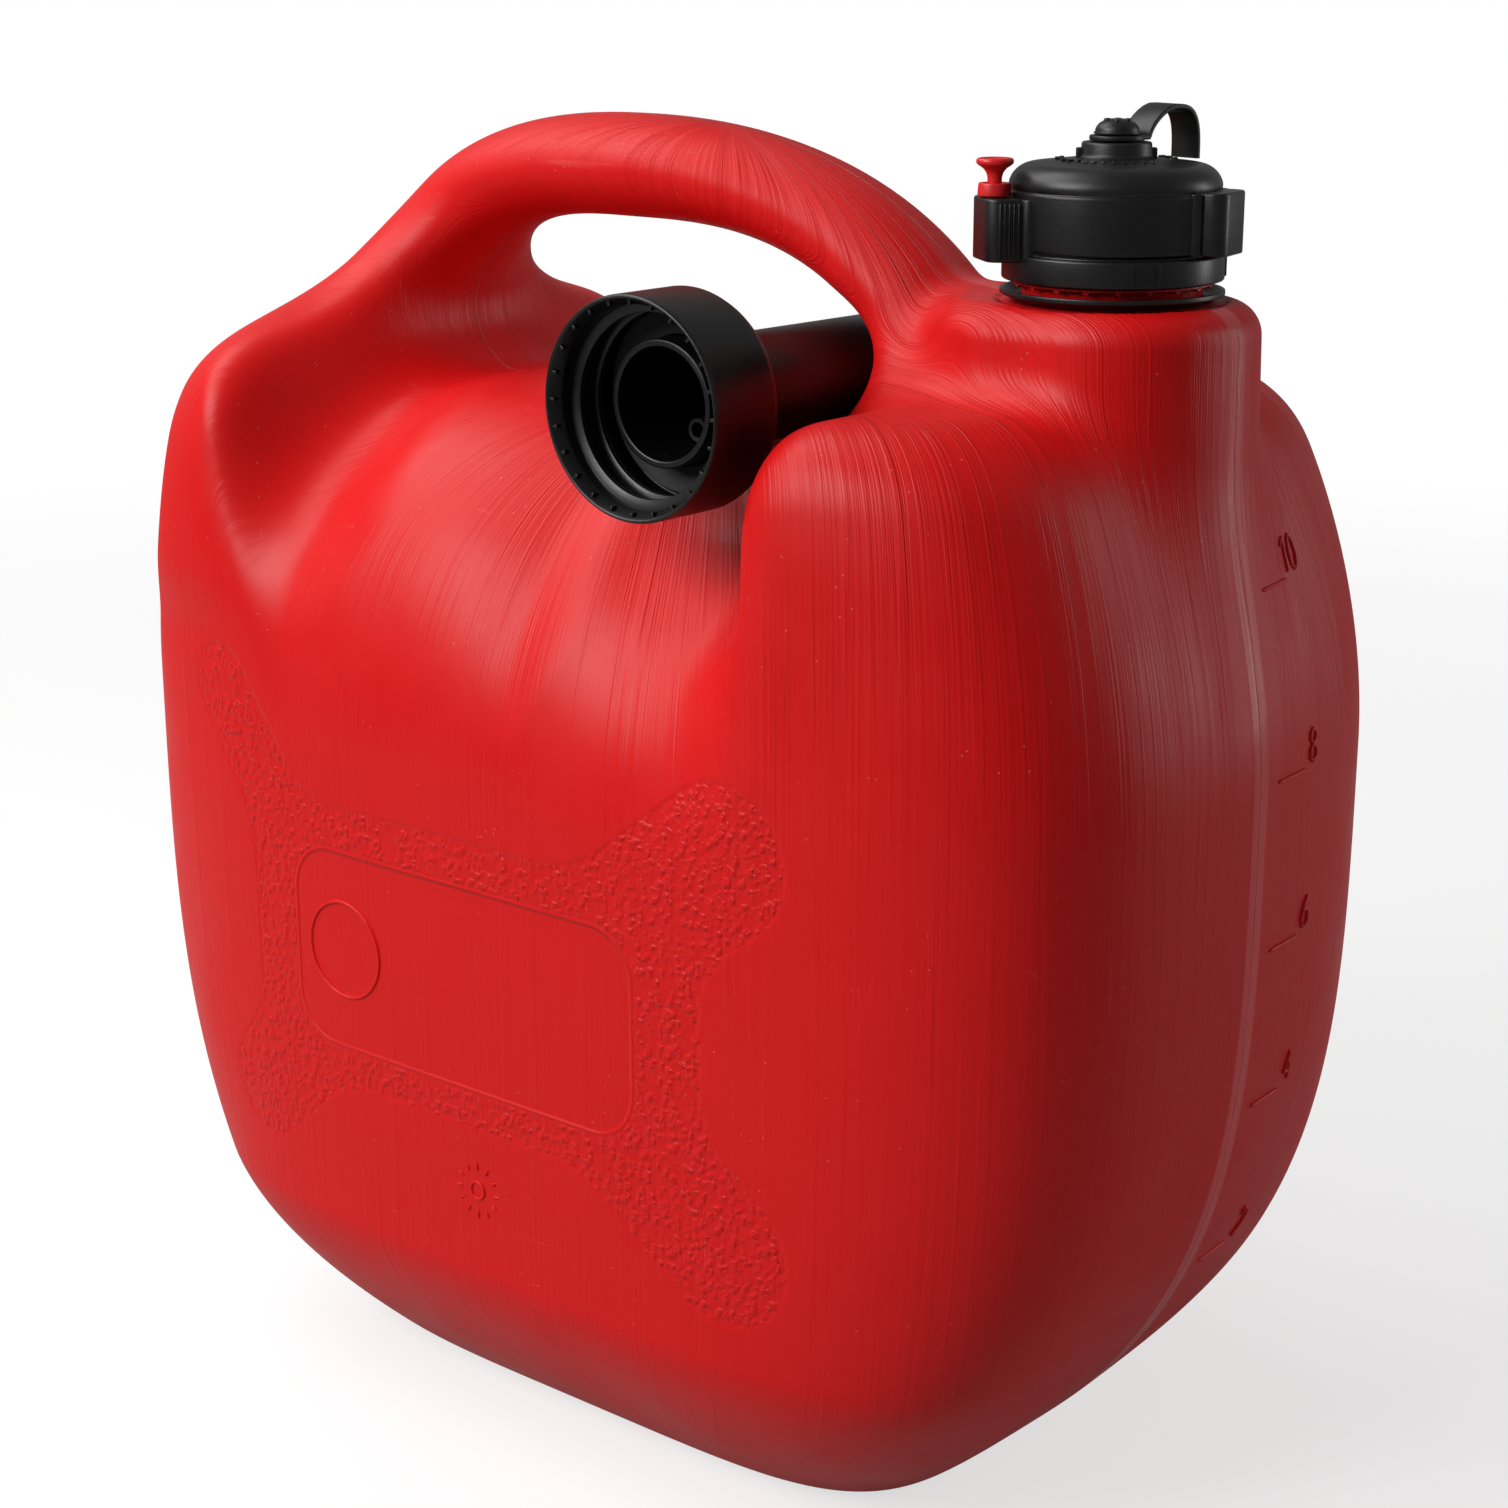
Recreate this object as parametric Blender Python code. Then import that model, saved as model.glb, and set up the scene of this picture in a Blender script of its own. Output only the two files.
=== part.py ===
# Ten litre plastic jerrycan with screw cap, vent plug, locking pin and stowed spout.
# The can stands on z = 0 with its base centred on the origin, the neck towards +X
# and the spout's mouth towards -Y. All sizes are metres.

import math

import bmesh
import bpy
import numpy as np

# Running clearance between neighbouring pieces
GAP = 0.0003

# Can body
LENGTH = 0.3111
DEPTH = 0.1786
WIDEST_HEIGHT = 0.1816
SHOULDER_RISE = 0.1200
BOTTOM_ROUND = 0.0490
TOP_ROUND_START = 0.2072
TOP_ROUND_RISE = 0.0943
TOP_HEIGHT = 0.2695
TOP_BLEND = 0.0181
DOME_X = -0.0350
DOME_HALF = 0.0360
DOME_FADE = 0.0360
DOME_DROP = 0.0105
DOME_BLEND = 0.0650
BASE_BLEND = 0.0059
FLAT_TRIM = 0.0005
SEAM_SOFTNESS = 0.00276
MIDDLE_SOFTNESS = 0.0001
WALL = 0.0023
PLAN_POWER = 4.67
GABLE_SHARE = 0.045
END_FOOT_SHARE = 0.418
END_FOOT_POWER = 3.56
END_SHOULDER_SHARE = 0.327
END_SHOULDER_POWER = 1.95
SIDE_FOOT_SHARE = 0.381
SIDE_FOOT_POWER = 1.65
SIDE_SHOULDER_SHARE = 0.409
SIDE_SHOULDER_POWER = 4.57

# Handle
HANDLE_X = -0.0286
HANDLE_FOOT_HEIGHT = 0.2376
HANDLE_REACH_LEFT = 0.0830
HANDLE_REACH_RIGHT = 0.1056
HANDLE_RISE = 0.0757
HANDLE_THICKNESS = 0.0255
HANDLE_WIDTH = 0.035
HANDLE_ROOT_THICKENING = 0.0058
HANDLE_ROOT_FLARE = 0.0424
HANDLE_NECK_FLARE = 0.0040
HANDLE_FLARE_TOP = 0.3068
HANDLE_FLARE_RISE = 0.0626
HANDLE_ROOT_SQUARENESS = 1.26
HANDLE_ROOT_SPREAD = 0.0729
HANDLE_ROOT_DEPTH = 0.0245
HANDLE_BLEND = 0.0189
HANDLE_POWER_LEFT = 2.64
HANDLE_POWER_RIGHT = 2.39

# Raised block that carries the neck
NECK_INSET = 0.04405
NECK_X = 0.5 * LENGTH - NECK_INSET
BLOCK_OFFSET = 0.0035
BLOCK_LENGTH = 0.0723
BLOCK_WIDTH = 0.0569
BLOCK_ROUND = 0.0272
BLOCK_EDGE = 0.00750
BLOCK_DRAFT_SHARE = 0.017
BLOCK_DEPTH = 0.0562
BLOCK_BLEND = 0.0099
BLOCK_TOP = 0.2903

# Scoops beside the handle's left root
SCOOP_INSET = 0.0800
SCOOP_X = SCOOP_INSET - 0.5 * LENGTH
SCOOP_RADIUS = 0.0207
SCOOP_START_Y = 0.0235
SCOOP_START_Z = 0.2690
SCOOP_SLOPE = math.radians(37.0)
SCOOP_BLEND = 0.0168

# Spout
SPOUT_X = 0.0420
SPOUT_HEIGHT = 0.2690
SPOUT_MOUTH_Y = -0.0843
SPOUT_LENGTH = 0.1578
COLLAR_RADIUS = 0.0252
COLLAR_LENGTH = 0.0232
COLLAR_WALL = 0.00256
COLLAR_FLOOR = 0.00296
TUBE_RADIUS = 0.0129
TUBE_TIP_RADIUS = 0.0120
TUBE_WALL = 0.00168
SLEEVE_RADIUS = 0.0144
SLEEVE_RECESS = 0.0107
VENT_TUBE_RADIUS = 0.00266
VENT_TUBE_WALL = 0.00089
SPOUT_SEAL_THICKNESS = 0.00197

# Hollows in the can that take the spout
CHANNEL_BITE = 0.0018
CHANNEL_BLEND = 0.00750
SEAT_CLEARANCE = 0.00237
SEAT_START_Y = 0.0525
SEAT_BLEND = 0.00750
VALLEY_X = 0.0505
VALLEY_RADIUS = 0.0180
VALLEY_START_Y = 0.0450
VALLEY_START_Z = 0.2440
VALLEY_SLOPE = math.radians(46.0)
VALLEY_BLEND = 0.0220
VALLEY_LEFT_SHARE = 0.45

# Neck, its thread and its ratchet teeth
NECK_RADIUS = 0.0201
NECK_WALL = 0.00316
NECK_HEIGHT = 0.0250
NECK_ROOT = 0.00148
THREAD_PITCH = 0.00592
THREAD_TURNS = 1.25
THREAD_DEPTH = 0.00128
THREAD_ROOT_WIDTH = 0.00207
THREAD_CREST_WIDTH = 0.00108
THREAD_SINK = 0.0005
THREAD_START = 0.0125
THREAD_PHASE_SHARE = 0.37
TOOTH_COUNT = 20
TOOTH_REACH = 0.00256
TOOTH_WIDTH = 0.00256
TOOTH_BASE = 0.0036
TOOTH_HEIGHT = 0.0006
TOOTH_TIP_SHARE = 0.15
TOOTH_FLANGE = 0.0006

# Loose ring under the cap
RING_RADIUS = 0.0250
RING_THICKNESS = 0.00099
RING_LIP = 0.00089
RING_HUB = 0.0222
RING_LIFT = 0.0017
RING_RIM = 0.0012

# Cap
CAP_RADIUS = 0.0237
CAP_SKIRT_RADIUS = 0.0247
CAP_BASE = 0.0051
CAP_SKIRT_HEIGHT = 0.00585
CAP_GROOVE = 0.00059
CAP_WALL = 0.00187
CAP_SKIRT_WALL = 0.00128
CAP_SHOULDER = 0.0056
CAP_CROWN = 0.0011
CAP_TOP_WALL = 0.0038
CAP_THREAD_DROP_SHARE = 0.5
GASKET_THICKNESS = 0.00197
LUG_HEIGHT = 0.0136
LUG_BASE = 0.0114
LATCH_BASE = 0.0096
LUG_WIDTH = 0.0148
LUG_REACH = 0.0284
LATCH_REACH = 0.0310
LUG_EDGE = 0.00158
LUG_ANGLES = (math.radians(10.0), math.radians(125.0))
LATCH_ANGLE = math.radians(-129.0)
RIB_COUNT = 8
RIB_PITCH = 0.00104
RIB_HEIGHT = 0.00039

# Vent in the cap's top
BOSS_RADIUS = 0.00789
BOSS_HEIGHT = 0.0034
VENT_BORE = 0.00296
PLUG_FLANGE_RADIUS = 0.00515
PLUG_FLANGE = 0.0004
PLUG_DOME_RADIUS = 0.0049
PLUG_DOME_HEIGHT = 0.0029
PLUG_STEM_LENGTH = 0.00641
STRAP_WIDTH = 0.0082
STRAP_THICKNESS = 0.00108
STRAP_ANGLE = math.radians(77.0)
STRAP_REACH = 0.0216
STRAP_RISE = 0.00635
STRAP_SQUARE_SHARE = 0.6
STRAP_SLANT_SHARE = 1.3
STRAP_EYE_RADIUS = 0.0061

# Locking pin on the latch lug
PIN_DISTANCE = 0.0277
PIN_STEM_RADIUS = 0.0016
PIN_HEAD_RADIUS = 0.00414
PIN_HEAD = 0.00197
PIN_TRAVEL = 0.0031
PIN_DEPTH = 0.0105
PIN_SINK = 0.0025
SLEEVE_FLANGE_RADIUS = 0.00375
SLEEVE_FLANGE = 0.0028
SLEEVE_TUBE_RADIUS = 0.0025
SLEEVE_TUBE_DEPTH = 0.00592

# Fineness of the solids
NET_STEP = 0.0030
NET_MARGIN = 0.009
PROBE_SHARE = 0.1
SETTLE_ROUNDS = 10
OUTER_FACES_SHARE = 0.05
INNER_FACES_SHARE = 0.022
ROUND_SIDES = 40
SMALL_SIDES = 16
THREAD_SIDES = 28
STRAP_STEPS = 14
OVERRUN = 0.004


def clear_scene():
    for item in list(bpy.data.objects):
        bpy.data.objects.remove(item, do_unlink=True)


def material(name, colour, roughness):
    made = bpy.data.materials.new(name)
    made.use_nodes = True
    shader = made.node_tree.nodes["Principled BSDF"]
    shader.inputs["Base Color"].default_value = (*colour, 1.0)
    shader.inputs["Roughness"].default_value = roughness
    shader.inputs["Metallic"].default_value = 0.0
    return made


def red_body_plastic():
    return material("red_body_plastic", (0.62, 0.012, 0.014), 0.38)


def red_pin_plastic():
    return material("red_pin_plastic", (0.66, 0.014, 0.014), 0.34)


def black_plastic(name):
    return material(name, (0.014, 0.014, 0.015), 0.36)


def grey_rubber(name):
    return material(name, (0.045, 0.045, 0.045), 0.75)


def smooth_min(a, b, blend):
    share = np.clip(0.5 + 0.5 * (b - a) / blend, 0.0, 1.0)
    return b + (a - b) * share - blend * share * (1.0 - share)


def smooth_max(a, b, blend):
    return -smooth_min(-a, -b, blend)


def ease(value):
    value = np.clip(value, 0.0, 1.0)
    return value * value * (3.0 - 2.0 * value)


def half_length(z):
    low = np.clip(1.0 - z / WIDEST_HEIGHT, 0.0, 1.0)
    high = np.maximum(z - WIDEST_HEIGHT, 0.0) / SHOULDER_RISE
    foot = END_FOOT_SHARE * low**END_FOOT_POWER
    shoulder = END_SHOULDER_SHARE * high**END_SHOULDER_POWER
    return 0.5 * LENGTH * np.maximum(1.0 - foot - shoulder, 0.1)


def half_depth(z):
    low = np.clip(1.0 - z / BOTTOM_ROUND, 0.0, 1.0)
    high = np.maximum(z - TOP_ROUND_START, 0.0) / TOP_ROUND_RISE
    foot = SIDE_FOOT_SHARE * low**SIDE_FOOT_POWER
    shoulder = SIDE_SHOULDER_SHARE * high**SIDE_SHOULDER_POWER
    return (0.5 * DEPTH - SEAM_SOFTNESS) * np.maximum(1.0 - foot - shoulder, 0.1)


def soft_abs(y):
    return np.sqrt(y * y + SEAM_SOFTNESS**2) - SEAM_SOFTNESS


def body_field(x, y, z):
    across = soft_abs(y)
    along = np.hypot(x, MIDDLE_SOFTNESS) + GABLE_SHARE * across
    share = (along / half_length(z)) ** PLAN_POWER + (across / half_depth(z)) ** PLAN_POWER
    share = share ** (1.0 / PLAN_POWER)
    field = np.hypot(along, across) * (1.0 - 1.0 / share)
    field = smooth_max(field, -z - FLAT_TRIM, BASE_BLEND)
    dome = 1.0 - ease((np.abs(x - DOME_X) - DOME_HALF) / DOME_FADE)
    top = TOP_HEIGHT - DOME_DROP * dome
    return smooth_max(field, z - top, TOP_BLEND + DOME_BLEND * dome)


def handle_field(x, y, z):
    along = x - HANDLE_X
    rise = np.maximum(z - HANDLE_FOOT_HEIGHT, 0.0)
    reach = np.where(along < 0.0, HANDLE_REACH_LEFT, HANDLE_REACH_RIGHT)
    power = np.where(along < 0.0, HANDLE_POWER_LEFT, HANDLE_POWER_RIGHT)
    share = (np.abs(along) / reach) ** power + (rise / HANDLE_RISE) ** power
    share = np.maximum(share ** (1.0 / power), MIDDLE_SOFTNESS / reach)
    radial = np.hypot(np.hypot(along, rise), MIDDLE_SOFTNESS) * (1.0 - 1.0 / share)
    low = ease((HANDLE_FLARE_TOP - z) / HANDLE_FLARE_RISE)
    left = ease(-along / HANDLE_ROOT_SPREAD)
    thick = 0.5 * HANDLE_THICKNESS + HANDLE_ROOT_THICKENING * low * left
    flare = HANDLE_ROOT_FLARE * left + HANDLE_NECK_FLARE * (1.0 - left)
    wide = 0.5 * HANDLE_WIDTH + flare * low
    square = 2.0 + HANDLE_ROOT_SQUARENESS * low * left
    field = (np.abs(radial) / thick) ** square + (np.abs(y) / wide) ** square
    field = (field ** (1.0 / square) - 1.0) * thick
    return smooth_max(field, HANDLE_FOOT_HEIGHT - HANDLE_ROOT_DEPTH - z, BLOCK_BLEND)


def block_field(x, y, z):
    centre = NECK_X - BLOCK_OFFSET
    draft = BLOCK_DRAFT_SHARE * (BLOCK_TOP - z)
    across = soft_abs(y)
    along = np.abs(x - centre) + np.where(x > centre, GABLE_SHARE * across, 0.0)
    side_x = along - 0.5 * BLOCK_LENGTH - draft + BLOCK_ROUND
    side_y = across - 0.5 * BLOCK_WIDTH - draft + BLOCK_ROUND
    plan = np.hypot(np.maximum(side_x, 0.0), np.maximum(side_y, 0.0))
    plan = plan + np.minimum(np.maximum(side_x, side_y), 0.0) - BLOCK_ROUND + BLOCK_EDGE
    level = np.abs(z - BLOCK_TOP + BLOCK_DEPTH) - BLOCK_DEPTH + BLOCK_EDGE - FLAT_TRIM
    outer = np.hypot(np.maximum(plan, 0.0), np.maximum(level, 0.0))
    return outer + np.minimum(np.maximum(plan, level), 0.0) - BLOCK_EDGE


# A trough of round section whose floor falls outwards from a point beside the can's middle plane.
def trough_field(x, side, z, centre, radius, start_y, start_z, slope):
    above = (side - start_y) * math.sin(slope) + (z - start_z) * math.cos(slope)
    below = np.minimum(above - radius, 0.0)
    return np.hypot(x - centre, below) - radius


def scoop_field(x, side, z):
    return trough_field(x, side, z, SCOOP_X, SCOOP_RADIUS, SCOOP_START_Y, SCOOP_START_Z, SCOOP_SLOPE)


# The valley is steep towards the neck and gentle on its other flank.
def valley_field(x, side, z):
    eased = np.where(x < VALLEY_X, VALLEY_X + VALLEY_LEFT_SHARE * (x - VALLEY_X), x)
    return trough_field(eased, side, z, VALLEY_X, VALLEY_RADIUS, VALLEY_START_Y, VALLEY_START_Z, VALLEY_SLOPE)


def seat_field(x, side, z):
    drop = np.minimum(z - SPOUT_HEIGHT, 0.0)
    field = np.hypot(x - SPOUT_X, drop) - COLLAR_RADIUS - SEAT_CLEARANCE
    return smooth_max(field, SEAT_START_Y - side, SEAT_BLEND)


def channel_field(x, z, bite):
    return np.hypot(x - SPOUT_X, z - SPOUT_HEIGHT) - (TUBE_RADIUS + GAP - bite)


# The can as a field, negative inside; bite leaves the spout's channel that much too narrow.
def can_field(x, y, z, bite):
    side = np.abs(y)
    field = body_field(x, y, z)
    field = smooth_max(field, -scoop_field(x, side, z), SCOOP_BLEND)
    field = smooth_max(field, -valley_field(x, side, z), VALLEY_BLEND)
    field = smooth_max(field, -seat_field(x, side, z), SEAT_BLEND)
    field = smooth_min(field, handle_field(x, y, z), HANDLE_BLEND)
    field = smooth_min(field, block_field(x, y, z), BLOCK_BLEND)
    return smooth_max(field, -channel_field(x, z, bite), CHANNEL_BLEND)


def net_axes():
    handle_top = HANDLE_FOOT_HEIGHT + HANDLE_RISE + HANDLE_THICKNESS
    high = max(handle_top, BLOCK_TOP, TOP_HEIGHT)
    handle_end = HANDLE_REACH_LEFT - HANDLE_X + HANDLE_THICKNESS + HANDLE_ROOT_THICKENING
    block_end = NECK_X - BLOCK_OFFSET + 0.5 * BLOCK_LENGTH
    half_x = max(0.5 * LENGTH, handle_end, block_end)
    half_y = 0.5 * max(DEPTH, HANDLE_WIDTH, BLOCK_WIDTH)
    axes = []
    for half in (half_x, half_y):
        count = int(math.ceil((half + NET_MARGIN) / NET_STEP))
        axes.append((np.arange(2 * count) - count + 0.5) * NET_STEP)
    count = int(math.ceil((high + 2.0 * NET_MARGIN) / NET_STEP))
    axes.append((np.arange(count) + 0.5) * NET_STEP - NET_MARGIN)
    return axes


def skin_value(points, depth, bite):
    return can_field(points[:, 0], points[:, 1], points[:, 2], bite) + depth


# Move points along the field's slope until they lie on the skin.
def settle(points, depth, bite):
    probe = PROBE_SHARE * WALL
    for _ in range(SETTLE_ROUNDS):
        value = skin_value(points, depth, bite)
        slope = np.empty_like(points)
        for axis in range(3):
            shift = np.zeros(3)
            shift[axis] = probe
            ahead = skin_value(points + shift, depth, bite)
            behind = skin_value(points - shift, depth, bite)
            slope[:, axis] = (ahead - behind) / (2.0 * probe)
        steep = np.maximum(np.sum(slope**2, axis=1), 0.1)
        move = -(value / steep)[:, None] * slope
        points = points + np.clip(move, -0.5 * NET_STEP, 0.5 * NET_STEP)
    return points


# A net over the skin: one point in each cell that the skin crosses, one face round each crossed edge.
def skin_net(depth, bite, flip):
    axes = net_axes()
    grid = np.meshgrid(*axes, indexing="ij")
    inside = can_field(*grid, bite) + depth < 0.0
    shape = tuple(n - 1 for n in inside.shape)
    total = np.zeros(shape, dtype=int)
    for i in (0, 1):
        for j in (0, 1):
            for k in (0, 1):
                total += inside[i : i + shape[0], j : j + shape[1], k : k + shape[2]]
    cells = (total > 0) & (total < 8)
    index = np.full(shape, -1)
    index[cells] = np.arange(np.count_nonzero(cells))
    low = np.array([axis[0] for axis in axes])
    points = settle(low + (np.argwhere(cells) + 0.5) * NET_STEP, depth, bite)
    faces = []
    for axis in range(3):
        first = (axis + 1) % 3
        second = (axis + 2) % 3
        before = np.take(inside, range(shape[axis]), axis)
        after = np.take(inside, range(1, shape[axis] + 1), axis)
        places = np.argwhere(before != after)
        step_first = np.eye(3, dtype=int)[first]
        step_second = np.eye(3, dtype=int)[second]
        corners = [places, places - step_first, places - step_first - step_second, places - step_second]
        ring = np.stack([index[tuple(c.T)] for c in corners], axis=1)
        leaving = before[tuple(places.T)] != flip
        faces += np.where(leaving[:, None], ring, ring[:, ::-1]).tolist()
    return points, faces


def can_skin(name, depth, bite, flip):
    points, faces = skin_net(depth, bite, flip)
    mesh = bpy.data.meshes.new(name)
    mesh.from_pydata(points.tolist(), [], faces)
    return mesh


def place(name, mesh, finish, parent=None, location=(0.0, 0.0, 0.0), turn=0.0):
    made = bpy.data.objects.new(name, mesh)
    bpy.context.collection.objects.link(made)
    made.location = location
    made.rotation_euler[2] = turn
    made.parent = parent
    if finish is not None:
        mesh.materials.clear()
        mesh.materials.append(finish)
    return made


def shade(made, angle=math.radians(35.0)):
    made.data.shade_smooth()
    made.data.set_sharp_from_angle(angle=angle)


def hide_cutter(made):
    made.hide_render = True
    made.display_type = "WIRE"
    return made


def boolean(target, tool, operation):
    cut = target.modifiers.new(tool.name, "BOOLEAN")
    cut.operation = operation
    cut.solver = "EXACT"
    cut.object = tool
    return hide_cutter(tool)


# A shape turned about Z from (radius, height) points that run anticlockwise in the r-z plane.
# A point on the axis beside one of the same height closes the shape with a flat cap.
def turned(name, outline, sides):
    shape = bmesh.new()
    rings = []
    for radius, height in outline:
        if radius == 0.0:
            rings.append([shape.verts.new((0.0, 0.0, height))])
            continue
        angles = [2.0 * math.pi * s / sides for s in range(sides)]
        rings.append([shape.verts.new((radius * math.cos(a), radius * math.sin(a), height)) for a in angles])
    for one, two in zip(rings, rings[1:] + rings[:1]):
        if len(one) == 1 and len(two) == 1:
            continue
        flat = one[0].co.z == two[0].co.z
        if len(one) == 1 and flat:
            shape.faces.new(two[::-1])
            continue
        if len(two) == 1 and flat:
            shape.faces.new(one)
            continue
        for s in range(sides):
            after = (s + 1) % sides
            corners = [one[s % len(one)], one[after % len(one)], two[after % len(two)], two[s % len(two)]]
            shape.faces.new(list(dict.fromkeys(corners)))
    loose = [v for v in shape.verts if not v.link_faces]
    bmesh.ops.delete(shape, geom=loose, context="VERTS")
    mesh = bpy.data.meshes.new(name)
    shape.to_mesh(mesh)
    shape.free()
    return mesh


def arc(centre_r, centre_z, radius, start, end, count):
    steps = [math.radians(start + (end - start) * n / count) for n in range(count + 1)]
    return [(centre_r + radius * math.cos(a), centre_z + radius * math.sin(a)) for a in steps]


# A helical ridge whose root is sunk in the wall that carries it; side is +1 outwards and -1 inwards.
def thread(name, wall_radius, side, base, turns):
    shape = bmesh.new()
    count = int(round(turns * THREAD_SIDES))
    loops = []
    for step in range(count + 1):
        angle = 2.0 * math.pi * (step + THREAD_PHASE_SHARE) / THREAD_SIDES
        fade = min(1.0, step / 3.0, (count - step) / 3.0)
        crest = wall_radius + side * THREAD_DEPTH * max(fade, 0.25)
        root = wall_radius - side * THREAD_SINK
        middle = base + THREAD_PITCH * step / THREAD_SIDES
        corners = [(root, -0.5 * THREAD_ROOT_WIDTH), (crest, -0.5 * THREAD_CREST_WIDTH),
                   (crest, 0.5 * THREAD_CREST_WIDTH), (root, 0.5 * THREAD_ROOT_WIDTH)]
        loops.append([shape.verts.new((r * math.cos(angle), r * math.sin(angle), middle + h))
                      for r, h in corners])
    for one, two in zip(loops, loops[1:]):
        for n in range(4):
            after = (n + 1) % 4
            shape.faces.new((one[n], two[n], two[after], one[after]))
    shape.faces.new(loops[0])
    shape.faces.new(loops[-1][::-1])
    bmesh.ops.recalc_face_normals(shape, faces=shape.faces)
    mesh = bpy.data.meshes.new(name)
    shape.to_mesh(mesh)
    shape.free()
    return mesh


def box_mesh(name, low, high):
    shape = bmesh.new()
    bmesh.ops.create_cube(shape, size=1.0)
    for vertex in shape.verts:
        for axis in range(3):
            vertex.co[axis] = high[axis] if vertex.co[axis] > 0.0 else low[axis]
    mesh = bpy.data.meshes.new(name)
    shape.to_mesh(mesh)
    shape.free()
    return mesh


def rounded_box(name, low, high, edge, steps):
    shape = bmesh.new()
    mesh = box_mesh(name, low, high)
    shape.from_mesh(mesh)
    upright = [e for e in shape.edges if abs(e.verts[0].co.z - e.verts[1].co.z) > edge]
    bmesh.ops.bevel(shape, geom=upright, offset=edge, segments=steps, profile=0.5, affect="EDGES")
    shape.to_mesh(mesh)
    shape.free()
    return mesh


# The neck as a solid plug with its thread and teeth; the bore opens it once it stands on the can.
def build_neck(neck_place):
    flange = TOOTH_BASE + TOOTH_HEIGHT
    flange_radius = NECK_RADIUS + TOOTH_REACH
    outline = [(0.0, -NECK_ROOT), (NECK_RADIUS, -NECK_ROOT), (NECK_RADIUS, flange), (flange_radius, flange),
               (flange_radius, flange + TOOTH_FLANGE), (NECK_RADIUS, flange + TOOTH_FLANGE),
               (NECK_RADIUS, NECK_HEIGHT), (0.0, NECK_HEIGHT)]
    neck = place("neck", turned("neck", outline, ROUND_SIDES), None, location=neck_place)
    ridge = place("neck_thread", thread("neck_thread", NECK_RADIUS, 1, THREAD_START, THREAD_TURNS), None,
                  location=neck_place)
    boolean(neck, ridge, "UNION")
    teeth = place("neck_teeth", teeth_mesh(), None, location=neck_place)
    boolean(neck, teeth, "UNION")
    return neck


# Teeth that hang from the flange round the neck and narrow towards their tips.
def teeth_mesh():
    shape = bmesh.new()
    top = TOOTH_BASE + TOOTH_HEIGHT + 0.5 * TOOTH_FLANGE
    for number in range(TOOTH_COUNT):
        angle = 2.0 * math.pi * number / TOOTH_COUNT
        inner = NECK_RADIUS - THREAD_SINK
        outer = NECK_RADIUS + TOOTH_REACH - THREAD_SINK
        plan = [(inner, -0.5 * TOOTH_WIDTH), (outer, -0.5 * TOOTH_WIDTH),
                (outer, 0.5 * TOOTH_WIDTH), (inner, 0.5 * TOOTH_WIDTH)]
        low = []
        high = []
        for radial, cross in plan:
            tip = cross * TOOTH_TIP_SHARE
            low.append(shape.verts.new((*turned_point(radial, tip, angle), TOOTH_BASE)))
            high.append(shape.verts.new((*turned_point(radial, cross, angle), top)))
        shape.faces.new(low[::-1])
        shape.faces.new(high)
        for n in range(4):
            after = (n + 1) % 4
            shape.faces.new((low[n], low[after], high[after], high[n]))
    mesh = bpy.data.meshes.new("teeth")
    shape.to_mesh(mesh)
    shape.free()
    return mesh


def turned_point(radial, cross, angle):
    x = radial * math.cos(angle) - cross * math.sin(angle)
    y = radial * math.sin(angle) + cross * math.cos(angle)
    return x, y


def tube_cutter(radius, length):
    outline = [(0.0, 0.0), (radius, 0.0), (radius, length), (0.0, length)]
    return turned("tube_cutter", outline, ROUND_SIDES)


def thin_out(made, share):
    thin = made.modifiers.new("fewer_faces", "DECIMATE")
    thin.ratio = share


def build_tank():
    tank = place("tank_body", can_skin("tank_body", 0.0, CHANNEL_BITE, False), red_body_plastic())
    thin_out(tank, OUTER_FACES_SHARE)
    hollow = place("tank_hollow", can_skin("tank_hollow", WALL, 0.0, False), None)
    thin_out(hollow, INNER_FACES_SHARE)
    boolean(tank, hollow, "DIFFERENCE")
    half = 0.5 * LENGTH + OVERRUN
    under = place("under_base", box_mesh("under_base", (-half, -half, -NET_MARGIN), (half, half, 0.0)), None)
    boolean(tank, under, "DIFFERENCE")
    seat_outline = [(0.0, 0.0), (RING_RADIUS + FLAT_TRIM, 0.0), (RING_RADIUS + FLAT_TRIM, OVERRUN), (0.0, OVERRUN)]
    seat = place("ring_seat", turned("ring_seat", seat_outline, ROUND_SIDES), None,
                 location=(NECK_X, 0.0, BLOCK_TOP))
    boolean(tank, seat, "DIFFERENCE")
    neck_place = (NECK_X, 0.0, BLOCK_TOP)
    boolean(tank, build_neck(neck_place), "UNION")
    bore_length = NECK_ROOT + NECK_HEIGHT + 2.0 * OVERRUN
    bore = place("neck_bore", tube_cutter(NECK_RADIUS - NECK_WALL, bore_length), None,
                 location=(NECK_X, 0.0, BLOCK_TOP - NECK_ROOT - OVERRUN))
    boolean(tank, bore, "DIFFERENCE")
    channel = place("spout_channel", tube_cutter(TUBE_RADIUS + GAP, DEPTH + 2.0 * OVERRUN), None,
                    location=(SPOUT_X, 0.5 * DEPTH + OVERRUN, SPOUT_HEIGHT))
    channel.rotation_euler[0] = math.radians(90.0)
    boolean(tank, channel, "DIFFERENCE")
    shade(tank, math.radians(50.0))
    return tank


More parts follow.
